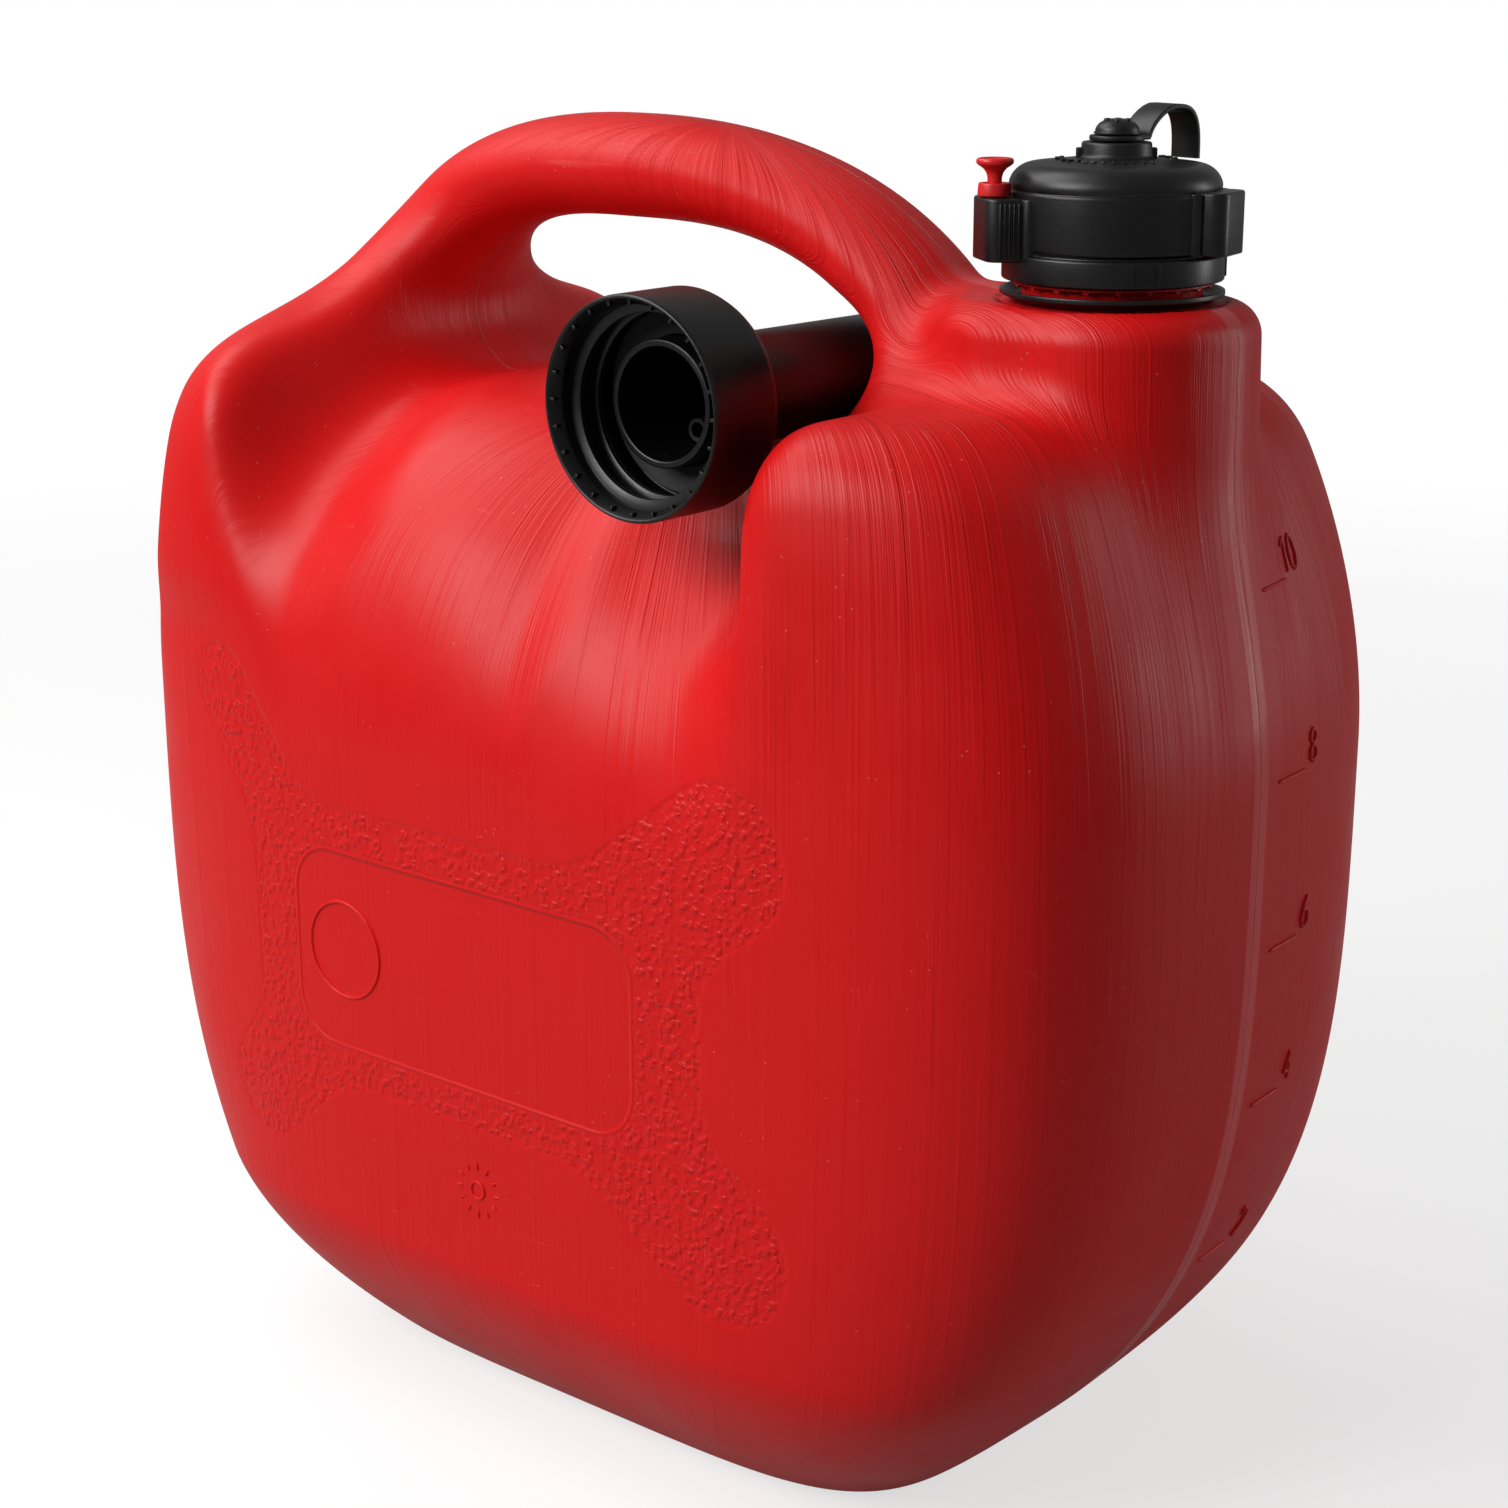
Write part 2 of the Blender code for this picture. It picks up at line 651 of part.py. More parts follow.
# A flat hub lies on the block, and the rim stands clear of it.
def build_ring():
    inner = NECK_RADIUS + GAP
    lip = RING_RADIUS - RING_LIP
    outline = [(inner, GAP), (RING_HUB, GAP), (lip, RING_LIFT), (RING_RADIUS, RING_LIFT),
               (RING_RADIUS, RING_LIFT + RING_RIM), (lip, RING_LIFT + RING_RIM),
               (RING_HUB, GAP + RING_THICKNESS), (inner, GAP + RING_THICKNESS)]
    ring = place("neck_ring", turned("neck_ring", outline, ROUND_SIDES), black_plastic("black_ring_plastic"),
                 location=(NECK_X, 0.0, BLOCK_TOP))
    shade(ring)
    return ring


def ceiling():
    return NECK_HEIGHT + 2.0 * GAP + GASKET_THICKNESS


def cap_top():
    return ceiling() + CAP_TOP_WALL


def cap_outline():
    bore = NECK_RADIUS + THREAD_DEPTH + GAP
    skirt_bore = NECK_RADIUS + TOOTH_REACH + GAP
    skirt_top = CAP_BASE + CAP_SKIRT_HEIGHT
    shoulder = CAP_SHOULDER
    top = cap_top()
    curve = arc(CAP_RADIUS - shoulder, top - CAP_CROWN - shoulder, shoulder, 0.0, 90.0, 5)
    outline = [(skirt_bore, CAP_BASE), (CAP_SKIRT_RADIUS, CAP_BASE), (CAP_SKIRT_RADIUS, skirt_top),
               (CAP_RADIUS - CAP_GROOVE, skirt_top), (CAP_RADIUS - CAP_GROOVE, skirt_top + CAP_GROOVE),
               (CAP_RADIUS, skirt_top + CAP_GROOVE)]
    outline += curve
    outline += [(BOSS_RADIUS, top), (VENT_BORE, top), (VENT_BORE, ceiling()), (bore, ceiling()), (bore, skirt_top),
                (skirt_bore, skirt_top - CAP_SKIRT_WALL)]
    return outline


def lug_mesh(name, reach, base):
    inner = CAP_RADIUS - CAP_WALL
    return rounded_box(name, (inner, -0.5 * LUG_WIDTH, base), (reach, 0.5 * LUG_WIDTH, base + LUG_HEIGHT),
                       LUG_EDGE, 2)


def rib_mesh():
    shape = bmesh.new()
    spread = RIB_PITCH * (RIB_COUNT - 1)
    first = LATCH_REACH - LUG_EDGE - spread - RIB_PITCH
    for number in range(RIB_COUNT):
        x = first + number * RIB_PITCH
        face = 0.5 * LUG_WIDTH
        plan = [(x - 0.25 * RIB_PITCH, face - RIB_HEIGHT), (x + 0.25 * RIB_PITCH, face - RIB_HEIGHT),
                (x + 0.25 * RIB_PITCH, face + RIB_HEIGHT), (x - 0.25 * RIB_PITCH, face + RIB_HEIGHT)]
        low = [shape.verts.new((a, b, LATCH_BASE + LUG_EDGE)) for a, b in plan]
        high = [shape.verts.new((a, b, LATCH_BASE + LUG_HEIGHT - LUG_EDGE)) for a, b in plan]
        shape.faces.new(low[::-1])
        shape.faces.new(high)
        for n in range(4):
            after = (n + 1) % 4
            shape.faces.new((low[n], low[after], high[after], high[n]))
    mesh = bpy.data.meshes.new("latch_ribs")
    shape.to_mesh(mesh)
    shape.free()
    return mesh


def build_cap(axis):
    cap = place("cap_shell", turned("cap_shell", cap_outline(), ROUND_SIDES), black_plastic("black_cap_plastic"),
                parent=axis)
    shade(cap)
    boss_outline = [(VENT_BORE, cap_top() - CAP_TOP_WALL), (BOSS_RADIUS, cap_top() - CAP_TOP_WALL),
                    (BOSS_RADIUS, cap_top() + BOSS_HEIGHT), (VENT_BORE, cap_top() + BOSS_HEIGHT)]
    boss = place("cap_boss", turned("cap_boss", boss_outline, SMALL_SIDES), None, parent=axis)
    boolean(cap, boss, "UNION")
    for number, angle in enumerate(LUG_ANGLES):
        lug = place(f"cap_lug_{number}", lug_mesh(f"cap_lug_{number}", LUG_REACH, LUG_BASE), None, parent=axis,
                    turn=angle)
        boolean(cap, lug, "UNION")
    latch = place("cap_latch", lug_mesh("cap_latch", LATCH_REACH, LATCH_BASE), None, parent=axis,
                  turn=LATCH_ANGLE)
    boolean(cap, latch, "UNION")
    ribs = place("latch_ribs", rib_mesh(), None, parent=axis, turn=LATCH_ANGLE)
    boolean(cap, ribs, "UNION")
    bore = NECK_RADIUS + THREAD_DEPTH + GAP
    base = THREAD_START - CAP_THREAD_DROP_SHARE * THREAD_PITCH
    ridge = place("cap_thread", thread("cap_thread", bore, -1, base, THREAD_TURNS), None, parent=axis)
    boolean(cap, ridge, "UNION")
    hole = place("pin_hole", tube_cutter(SLEEVE_TUBE_RADIUS + GAP, PIN_DEPTH + OVERRUN), None, parent=axis,
                 location=(*pin_place(), LATCH_BASE + LUG_HEIGHT - PIN_DEPTH))
    boolean(cap, hole, "DIFFERENCE")
    return cap


def pin_place():
    return PIN_DISTANCE * math.cos(LATCH_ANGLE), PIN_DISTANCE * math.sin(LATCH_ANGLE)


def build_gasket(axis):
    outer = NECK_RADIUS + THREAD_DEPTH
    inner = NECK_RADIUS - NECK_WALL - OVERRUN
    low = NECK_HEIGHT + GAP
    outline = [(inner, low), (outer, low), (outer, low + GASKET_THICKNESS), (inner, low + GASKET_THICKNESS)]
    gasket = place("cap_gasket", turned("cap_gasket", outline, ROUND_SIDES), grey_rubber("cap_gasket_rubber"),
                   parent=axis)
    shade(gasket)
    return gasket


def strap_level():
    return cap_top() + BOSS_HEIGHT + GAP


def build_plug(axis):
    seat = strap_level() + STRAP_THICKNESS + GAP
    stem = VENT_BORE - GAP
    dome = arc(0.0, 0.0, 1.0, 0.0, 90.0, 5)
    dome = [(PLUG_DOME_RADIUS * r if n < 5 else 0.0, seat + PLUG_FLANGE + PLUG_DOME_HEIGHT * h)
            for n, (r, h) in enumerate(dome)]
    outline = [(0.0, seat - PLUG_STEM_LENGTH), (stem - GAP, seat - PLUG_STEM_LENGTH),
               (stem - GAP, strap_level() - GAP), (stem, seat - STRAP_THICKNESS), (stem, seat),
               (PLUG_FLANGE_RADIUS, seat),
               (PLUG_FLANGE_RADIUS, seat + PLUG_FLANGE)]
    plug = place("vent_plug", turned("vent_plug", outline + dome, SMALL_SIDES), black_plastic("black_plug_plastic"),
                 parent=axis)
    shade(plug)
    return plug


# Height of the cap's outside at a radius on its rounded shoulder.
def shoulder_height(radius):
    past = max(radius - (CAP_RADIUS - CAP_SHOULDER), 0.0)
    return cap_top() - CAP_CROWN - CAP_SHOULDER + math.sqrt(CAP_SHOULDER**2 - past**2)


# The strap leaves its eye level, clears the plug's flange, arches over with a flat top and comes down on the
# shoulder.
def strap_route():
    low = strap_level() + 0.5 * STRAP_THICKNESS
    rise_start = PLUG_FLANGE_RADIUS + STRAP_THICKNESS
    foot = shoulder_height(STRAP_REACH - STRAP_THICKNESS) + GAP + 0.3 * STRAP_THICKNESS
    points = [(rise_start - 2.0 * STRAP_THICKNESS, low), (rise_start - STRAP_THICKNESS, low)]
    for step in range(STRAP_STEPS + 1):
        angle = math.pi * step / STRAP_STEPS
        bend = STRAP_SLANT_SHARE if 2 * step < STRAP_STEPS else STRAP_SQUARE_SHARE
        across = math.copysign(abs(math.cos(angle)) ** bend, math.cos(angle))
        radius = 0.5 * (rise_start + STRAP_REACH) - 0.5 * (STRAP_REACH - rise_start) * across
        base = low if across > 0.0 else foot
        lift = abs(math.sin(angle)) ** bend
        points.append((radius, base + (low + STRAP_RISE - base) * lift))
    return points


def band_mesh(name, route, width, thickness):
    shape = bmesh.new()
    loops = []
    for n, (r, z) in enumerate(route):
        before = route[max(n - 1, 0)]
        after = route[min(n + 1, len(route) - 1)]
        slope = math.atan2(after[1] - before[1], after[0] - before[0])
        out_r = -math.sin(slope) * 0.5 * thickness
        out_z = math.cos(slope) * 0.5 * thickness
        corners = [(r - out_r, -0.5 * width, z - out_z), (r - out_r, 0.5 * width, z - out_z),
                   (r + out_r, 0.5 * width, z + out_z), (r + out_r, -0.5 * width, z + out_z)]
        loops.append([shape.verts.new(c) for c in corners])
    for one, two in zip(loops, loops[1:]):
        for n in range(4):
            after = (n + 1) % 4
            shape.faces.new((one[n], two[n], two[after], one[after]))
    shape.faces.new(loops[0])
    shape.faces.new(loops[-1][::-1])
    bmesh.ops.recalc_face_normals(shape, faces=shape.faces)
    mesh = bpy.data.meshes.new(name)
    shape.to_mesh(mesh)
    shape.free()
    return mesh


def build_strap(axis):
    strap = place("vent_strap", band_mesh("vent_strap", strap_route(), STRAP_WIDTH, STRAP_THICKNESS),
                  black_plastic("black_strap_plastic"), parent=axis, turn=STRAP_ANGLE)
    low = strap_level()
    outline = [(0.0, low), (STRAP_EYE_RADIUS, low), (STRAP_EYE_RADIUS, low + STRAP_THICKNESS),
               (0.0, low + STRAP_THICKNESS)]
    eye = place("strap_eye", turned("strap_eye", outline, SMALL_SIDES), None, parent=axis)
    boolean(strap, eye, "UNION")
    hole = place("strap_hole", tube_cutter(VENT_BORE, 2.0 * OVERRUN), None, parent=axis,
                 location=(0.0, 0.0, low - OVERRUN))
    boolean(strap, hole, "DIFFERENCE")
    shade(strap)
    return strap


def build_pin(axis):
    top = LATCH_BASE + LUG_HEIGHT
    bore = PIN_STEM_RADIUS + GAP
    flange = top + GAP + SLEEVE_FLANGE
    outline = [(bore, top - SLEEVE_TUBE_DEPTH), (SLEEVE_TUBE_RADIUS, top - SLEEVE_TUBE_DEPTH),
               (SLEEVE_TUBE_RADIUS, top + GAP), (SLEEVE_FLANGE_RADIUS, top + GAP), (SLEEVE_FLANGE_RADIUS, flange),
               (bore, flange)]
    sleeve = place("lock_pin_sleeve", turned("lock_pin_sleeve", outline, SMALL_SIDES), red_pin_plastic(),
                   parent=axis, location=(*pin_place(), 0.0))
    shade(sleeve)
    head = flange + PIN_TRAVEL + GAP
    outline = [(0.0, top - PIN_SINK), (PIN_STEM_RADIUS, top - PIN_SINK), (PIN_STEM_RADIUS, head),
               (PIN_HEAD_RADIUS, head + 0.4 * PIN_HEAD), (PIN_HEAD_RADIUS, head + 0.8 * PIN_HEAD),
               (PIN_HEAD_RADIUS - 0.2 * PIN_HEAD, head + PIN_HEAD), (0.0, head + PIN_HEAD)]
    pin = place("lock_pin", turned("lock_pin", outline, SMALL_SIDES), red_pin_plastic(), parent=axis,
                location=(*pin_place(), 0.0))
    shade(pin)
    return pin


# The spout is turned about its own Z, which runs from the mouth to the tip.
def spout_outline():
    collar_bore = COLLAR_RADIUS - COLLAR_WALL
    floor = COLLAR_LENGTH - COLLAR_FLOOR
    taper_end = COLLAR_LENGTH + 0.6 * (COLLAR_RADIUS - TUBE_RADIUS)
    inner = TUBE_RADIUS - TUBE_WALL
    tip = TUBE_TIP_RADIUS - TUBE_WALL
    sleeve_bore = SLEEVE_RADIUS - TUBE_WALL
    shoulder = 0.12 * COLLAR_RADIUS
    outline = [(COLLAR_RADIUS, 0.0), (COLLAR_RADIUS, COLLAR_LENGTH - shoulder),
               (COLLAR_RADIUS - 0.35 * shoulder, COLLAR_LENGTH - 0.3 * shoulder),
               (COLLAR_RADIUS - shoulder, COLLAR_LENGTH), (TUBE_RADIUS, taper_end),
               (TUBE_TIP_RADIUS, SPOUT_LENGTH), (tip, SPOUT_LENGTH), (inner, taper_end),
               (sleeve_bore, floor), (sleeve_bore, SLEEVE_RECESS), (SLEEVE_RADIUS, SLEEVE_RECESS),
               (SLEEVE_RADIUS, floor), (collar_bore, floor), (collar_bore, 0.0)]
    return outline


def build_spout(axis):
    spout = place("spout_body", turned("spout_body", spout_outline(), ROUND_SIDES),
                  black_plastic("black_spout_plastic"), parent=axis)
    shade(spout)
    bore = COLLAR_RADIUS - COLLAR_WALL
    ridge = place("spout_thread", thread("spout_thread", bore, -1, 0.6 * THREAD_PITCH, 2.2), None, parent=axis)
    boolean(spout, ridge, "UNION")
    return spout


def build_spout_seal(axis):
    floor = COLLAR_LENGTH - COLLAR_FLOOR - GAP
    inner = SLEEVE_RADIUS + GAP
    outer = COLLAR_RADIUS - COLLAR_WALL - THREAD_DEPTH - GAP
    outline = [(inner, floor - SPOUT_SEAL_THICKNESS), (outer, floor - SPOUT_SEAL_THICKNESS), (outer, floor),
               (inner, floor)]
    seal = place("spout_gasket", turned("spout_gasket", outline, ROUND_SIDES), grey_rubber("spout_gasket_rubber"),
                 parent=axis)
    shade(seal)
    return seal


def build_vent_tube(axis):
    start = COLLAR_LENGTH
    end = SPOUT_LENGTH - OVERRUN
    inner = VENT_TUBE_RADIUS - VENT_TUBE_WALL
    outline = [(VENT_TUBE_RADIUS, start), (VENT_TUBE_RADIUS, end), (inner, end), (inner, start)]
    offset = TUBE_TIP_RADIUS - TUBE_WALL - VENT_TUBE_RADIUS - GAP
    tube = place("spout_vent_tube", turned("spout_vent_tube", outline, SMALL_SIDES),
                 black_plastic("black_vent_plastic"), parent=axis, location=(0.0, offset, 0.0))
    shade(tube)
    return tube


def empty(name, location, rotation=(0.0, 0.0, 0.0)):
    made = bpy.data.objects.new(name, None)
    bpy.context.collection.objects.link(made)
    made.location = location
    made.rotation_euler = rotation
    return made


def main():
    clear_scene()
    build_tank()
    build_ring()
    cap_axis = empty("cap_axis", (NECK_X, 0.0, BLOCK_TOP))
    build_cap(cap_axis)
    build_gasket(cap_axis)
    build_plug(cap_axis)
    build_strap(cap_axis)
    build_pin(cap_axis)
    spout_axis = empty("spout_axis", (SPOUT_X, SPOUT_MOUTH_Y, SPOUT_HEIGHT), (math.radians(-90.0), 0.0, 0.0))
    build_spout(spout_axis)
    build_spout_seal(spout_axis)
    build_vent_tube(spout_axis)


main()
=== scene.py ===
# A red blow-moulded jerrycan with its screw cap, vent plug, locking pin and stowed spout.
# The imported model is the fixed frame; the pieces here give it its finished surfaces.
# Sizes are metres, +Z is up, +X points to the filler neck and -Y to the spout's mouth.

import math

import bpy
import numpy as np
from mathutils import Matrix, Vector


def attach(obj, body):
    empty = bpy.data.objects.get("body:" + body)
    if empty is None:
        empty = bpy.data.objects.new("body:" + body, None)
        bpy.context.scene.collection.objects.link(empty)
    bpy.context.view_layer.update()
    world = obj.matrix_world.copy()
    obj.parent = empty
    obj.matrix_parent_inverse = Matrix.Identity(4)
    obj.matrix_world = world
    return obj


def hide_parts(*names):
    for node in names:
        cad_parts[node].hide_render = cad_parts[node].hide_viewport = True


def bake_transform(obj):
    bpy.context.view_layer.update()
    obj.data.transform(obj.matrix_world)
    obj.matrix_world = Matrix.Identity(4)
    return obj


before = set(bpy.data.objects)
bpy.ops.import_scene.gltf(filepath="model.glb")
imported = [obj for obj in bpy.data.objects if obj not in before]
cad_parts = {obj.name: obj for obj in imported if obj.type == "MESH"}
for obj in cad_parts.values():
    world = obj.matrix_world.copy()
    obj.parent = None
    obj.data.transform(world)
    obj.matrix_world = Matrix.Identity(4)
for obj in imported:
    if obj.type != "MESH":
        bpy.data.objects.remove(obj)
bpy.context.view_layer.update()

bl_info = {
    "name": "Plastic jerrycan",
    "version": (1, 0, 0),
    "blender": (4, 5, 0),
    "location": "3D View > Sidebar > Jerrycan",
    "description": "Builds the finished pieces of a plastic jerrycan over its packed model",
    "category": "Object",
}

GAP = 0.0003

# Can body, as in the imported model
LENGTH = 0.3111
DEPTH = 0.1786
WIDEST_HEIGHT = 0.1816
SHOULDER_RISE = 0.1200
BOTTOM_ROUND = 0.0490
TOP_ROUND_START = 0.2072
TOP_ROUND_RISE = 0.0943
TOP_HEIGHT = 0.2695
TOP_BLEND = 0.0181
DOME_X = -0.0350
DOME_HALF = 0.0360
DOME_FADE = 0.0360
DOME_DROP = 0.0105
DOME_BLEND = 0.0650
BASE_BLEND = 0.0059
FLAT_TRIM = 0.0005
SEAM_SOFTNESS = 0.00276
MIDDLE_SOFTNESS = 0.0001
WALL = 0.0023
PLAN_POWER = 4.67
GABLE_SHARE = 0.045
END_FOOT_SHARE = 0.418
END_FOOT_POWER = 3.56
END_SHOULDER_SHARE = 0.327
END_SHOULDER_POWER = 1.95
SIDE_FOOT_SHARE = 0.381
SIDE_FOOT_POWER = 1.65
SIDE_SHOULDER_SHARE = 0.409
SIDE_SHOULDER_POWER = 4.57

# Handle
HANDLE_X = -0.0286
HANDLE_FOOT_HEIGHT = 0.2376
HANDLE_REACH_LEFT = 0.0830
HANDLE_REACH_RIGHT = 0.1056
HANDLE_RISE = 0.0757
HANDLE_THICKNESS = 0.0255
HANDLE_WIDTH = 0.035
HANDLE_ROOT_THICKENING = 0.0058
HANDLE_ROOT_FLARE = 0.0424
HANDLE_NECK_FLARE = 0.0040
HANDLE_FLARE_TOP = 0.3068
HANDLE_FLARE_RISE = 0.0626
HANDLE_ROOT_SQUARENESS = 1.26
HANDLE_ROOT_SPREAD = 0.0729
HANDLE_ROOT_DEPTH = 0.0245
HANDLE_BLEND = 0.0189
HANDLE_POWER_LEFT = 2.64
HANDLE_POWER_RIGHT = 2.39

# Raised block that carries the neck
NECK_X = 0.5 * LENGTH - 0.04405
BLOCK_OFFSET = 0.0035
BLOCK_LENGTH = 0.0723
BLOCK_WIDTH = 0.0569
BLOCK_ROUND = 0.0272
BLOCK_EDGE = 0.0075
BLOCK_DRAFT_SHARE = 0.017
BLOCK_DEPTH = 0.0562
BLOCK_BLEND = 0.0099
BLOCK_TOP = 0.2903

# Hollows round the handle's root and the spout
SCOOP = (0.0800 - 0.5 * LENGTH, 0.0207, 0.0235, 0.2690, math.radians(37.0))
SCOOP_BLEND = 0.0168
VALLEY = (0.0505, 0.0180, 0.0450, 0.2440, math.radians(46.0))
VALLEY_BLEND = 0.0220
VALLEY_LEFT_SHARE = 0.45
CHANNEL_BLEND = 0.0075
SEAT_CLEARANCE = 0.00237
SEAT_START_Y = 0.0525
SEAT_BLEND = 0.0075

# Spout
SPOUT_X = 0.0420
SPOUT_HEIGHT = 0.2690
SPOUT_MOUTH_Y = -0.0843
SPOUT_LENGTH = 0.1578
COLLAR_RADIUS = 0.0252
COLLAR_LENGTH = 0.0232
COLLAR_WALL = 0.00256
COLLAR_FLOOR = 0.00296
TUBE_RADIUS = 0.0129
TUBE_TIP_RADIUS = 0.0120
TUBE_WALL = 0.00168
SLEEVE_RADIUS = 0.0144
SLEEVE_RECESS = 0.0107
SPOUT_SEAL_THICKNESS = 0.00197
SPOUT_THREAD_START = 0.0046
SPOUT_THREAD_TURNS = 2.0
SPOUT_THREAD_ROOT = 0.0030
SPOUT_THREAD_CREST = 0.0014
NOTCH_COUNT = 24
NOTCH_HALF = 0.0004
NOTCH_NEAR = 0.0002
NOTCH_FAR = 0.0018
NOTCH_LOW = 0.0006
NOTCH_HIGH = 0.0022

# Neck and its loose ring
NECK_RADIUS = 0.0201
NECK_WALL = 0.00316
NECK_HEIGHT = 0.0250
THREAD_PITCH = 0.00592
THREAD_DEPTH = 0.00128
THREAD_ROOT_WIDTH = 0.00207
THREAD_CREST_WIDTH = 0.00108
THREAD_START = 0.0125
TOOTH_COUNT = 20
TOOTH_REACH = 0.00256
TOOTH_WIDTH = 0.00256
TOOTH_BASE = 0.0036
TOOTH_HEIGHT = 0.0006
TOOTH_TIP_SHARE = 0.15
TOOTH_FLANGE = 0.0006
TOOTH_ROOT = 0.0005
NECK_SINK = 0.0008
NECK_EDGE = 0.00022
THREAD_TURNS = 1.25
RING_RADIUS = 0.0250
RING_THICKNESS = 0.00099
RING_LIP = 0.00089
RING_HUB = 0.0222
RING_LIFT = 0.0017
RING_RIM = 0.0012

# Cap
CAP_RADIUS = 0.0237
CAP_SKIRT_RADIUS = 0.0247
CAP_BASE = 0.0051
CAP_SKIRT_HEIGHT = 0.00585
CAP_GROOVE = 0.00059
CAP_SHOULDER = 0.0056
CAP_CROWN = 0.0011
CAP_TOP_WALL = 0.0038
CEILING = NECK_HEIGHT + 2.0 * GAP + 0.00197
CAP_TOP = CEILING + CAP_TOP_WALL
LUG_HEIGHT = 0.0136
LUG_BASE = 0.0114
LATCH_BASE = 0.0096
LUG_WIDTH = 0.0148
LUG_REACH = 0.0284
LATCH_REACH = 0.0310
LUG_ANGLES = (math.radians(10.0), math.radians(125.0))
LATCH_ANGLE = math.radians(-129.0)
LUG_ROOT = 0.0030
LUG_LEDGE = 0.0008
LUG_FILLET = 0.0019
LUG_CORNER = 0.0032
RIB_PITCH = 0.00104
RIB_END = 0.00158
RIB_HALF = 0.00034
RIB_HEIGHT = 0.00052
RIB_ROOT = 0.0006
RIB_SINK = 0.0001
RIB_MARGIN = 0.0009
BAR_RADIUS = 0.0118
BAR_HALF = 0.00042
BAR_LONG = 0.0017
BAR_SHORT = 0.0011
BAR_COUNT = 15
STOP_ANGLES = (-48.0, -34.0, 30.0, 170.0)
STOP_HALF = 0.0006
STOP_REACH = 0.00035
STOP_LIFT = 0.0008
EAR_ANGLES = (-140.0, 40.0)
EAR_HALF = 0.0011
EAR_REACH = 0.0010
EAR_ROOT = 0.0006
EAR_HEIGHT_SHARE = 0.62

# Vent plug, strap and locking pin
BOSS_RADIUS = 0.00789
BOSS_HEIGHT = 0.0034
VENT_BORE = 0.00296
PLUG_FLANGE_RADIUS = 0.00515
PLUG_FLANGE = 0.0004
PLUG_DOME_RADIUS = 0.0049
PLUG_DOME_HEIGHT = 0.0029
PLUG_STEM_LENGTH = 0.00641
KNOB_COUNT = 6
KNOB_RADIUS = 0.00075
KNOB_CIRCLE = 0.0026
KNOB_RISE = 0.0003
KNOB_DEPTH = 0.0010
STRAP_WIDTH = 0.0082
STRAP_THICKNESS = 0.00108
STRAP_ANGLE = math.radians(77.0)
STRAP_REACH = 0.0216
STRAP_RISE = 0.00635
STRAP_SQUARE_SHARE = 0.6
STRAP_SLANT_SHARE = 1.3
STRAP_EYE_RADIUS = 0.0061
STRAP_LEVEL = CAP_TOP + BOSS_HEIGHT + GAP
PIN_DISTANCE = 0.0277
PIN_STEM_RADIUS = 0.0016
PIN_HEAD_RADIUS = 0.00414
PIN_HEAD = 0.00197
PIN_TRAVEL = 0.0031
SLEEVE_FLANGE_RADIUS = 0.00375
SLEEVE_FLANGE = 0.0028
SLEEVE_TUBE_RADIUS = 0.0025
SLEEVE_TUBE_DEPTH = 0.00592
PIN_SINK = 0.0025
PIN_SIDES = 64
PIN_FLARE = ((0.0, 0.0022), (0.0003, 0.0012), (0.0010, 0.0003))
PIN_HEAD_OUTLINE = ((PIN_HEAD_RADIUS - 0.0003, 0.25), (PIN_HEAD_RADIUS, 0.45), (PIN_HEAD_RADIUS, 0.8),
                    (PIN_HEAD_RADIUS - 0.0005, 1.0), (0.0028, 1.0), (0.0022, 0.8), (0.0, 0.78))
SLEEVE_MOUTH = ((0.0010, 0.0), (0.0003, 0.0008), (0.0, 0.0016))

# Where the moulded marks lie: the panel's middle and half sizes in x and z on the broad faces
PANEL_MIDDLE = (-0.0120, 0.1235)
PANEL_HALF = (0.0570, 0.0258)
PANEL_CORNER = 0.0125
GRAIN_MIDDLE = (-0.0098, 0.1245)
GRAIN_HALF = (0.0753, 0.0368)
GRAIN_CORNER = 0.0120
GRAIN_BLEND = 0.0080
GRAIN_ARMS = (
    ((0.0380, 0.1460), (0.0705, 0.1720), 0.0185),
    ((0.0380, 0.1040), (0.0710, 0.0780), 0.0185),
    ((-0.0660, 0.1440), (-0.0965, 0.1850), 0.0110),
    ((-0.0600, 0.1020), (-0.0840, 0.0800), 0.0150),
)
DIAL_MIDDLE = (-0.0515, 0.1238)
DIAL_RADIUS = 0.0125
CLOCK_MIDDLE = (-0.0064, 0.0714)
CLOCK_TICKS = 12
CLOCK_HUB = 0.0022
CLOCK_TICK_RADII = (0.0053, 0.0060, 0.0067, 0.0074)
DIAL_LINE = 0.0010
CLOCK_HUB_LINE = 0.0007
CLOCK_TICK_LINE = 0.0008
OUTSIDE_ZONES = 0.1
LEVEL_LINE = (0.0078, 0.0215)
LEVEL_STEP = 0.0008
DIGIT_WIDTH = 0.0034
DIGIT_HEIGHT = 0.0078
DIGIT_STEP = 0.0006
DIGIT_LIFT = 0.0012
DIGIT_SPACING_SHARE = 1.45
NUMBER_START = {1: 0.0232, 2: 0.0205}
LEVELS = (("10", 0.2280), ("8", 0.1845), ("6", 0.1440), ("4", 0.1048), ("2", 0.0615))
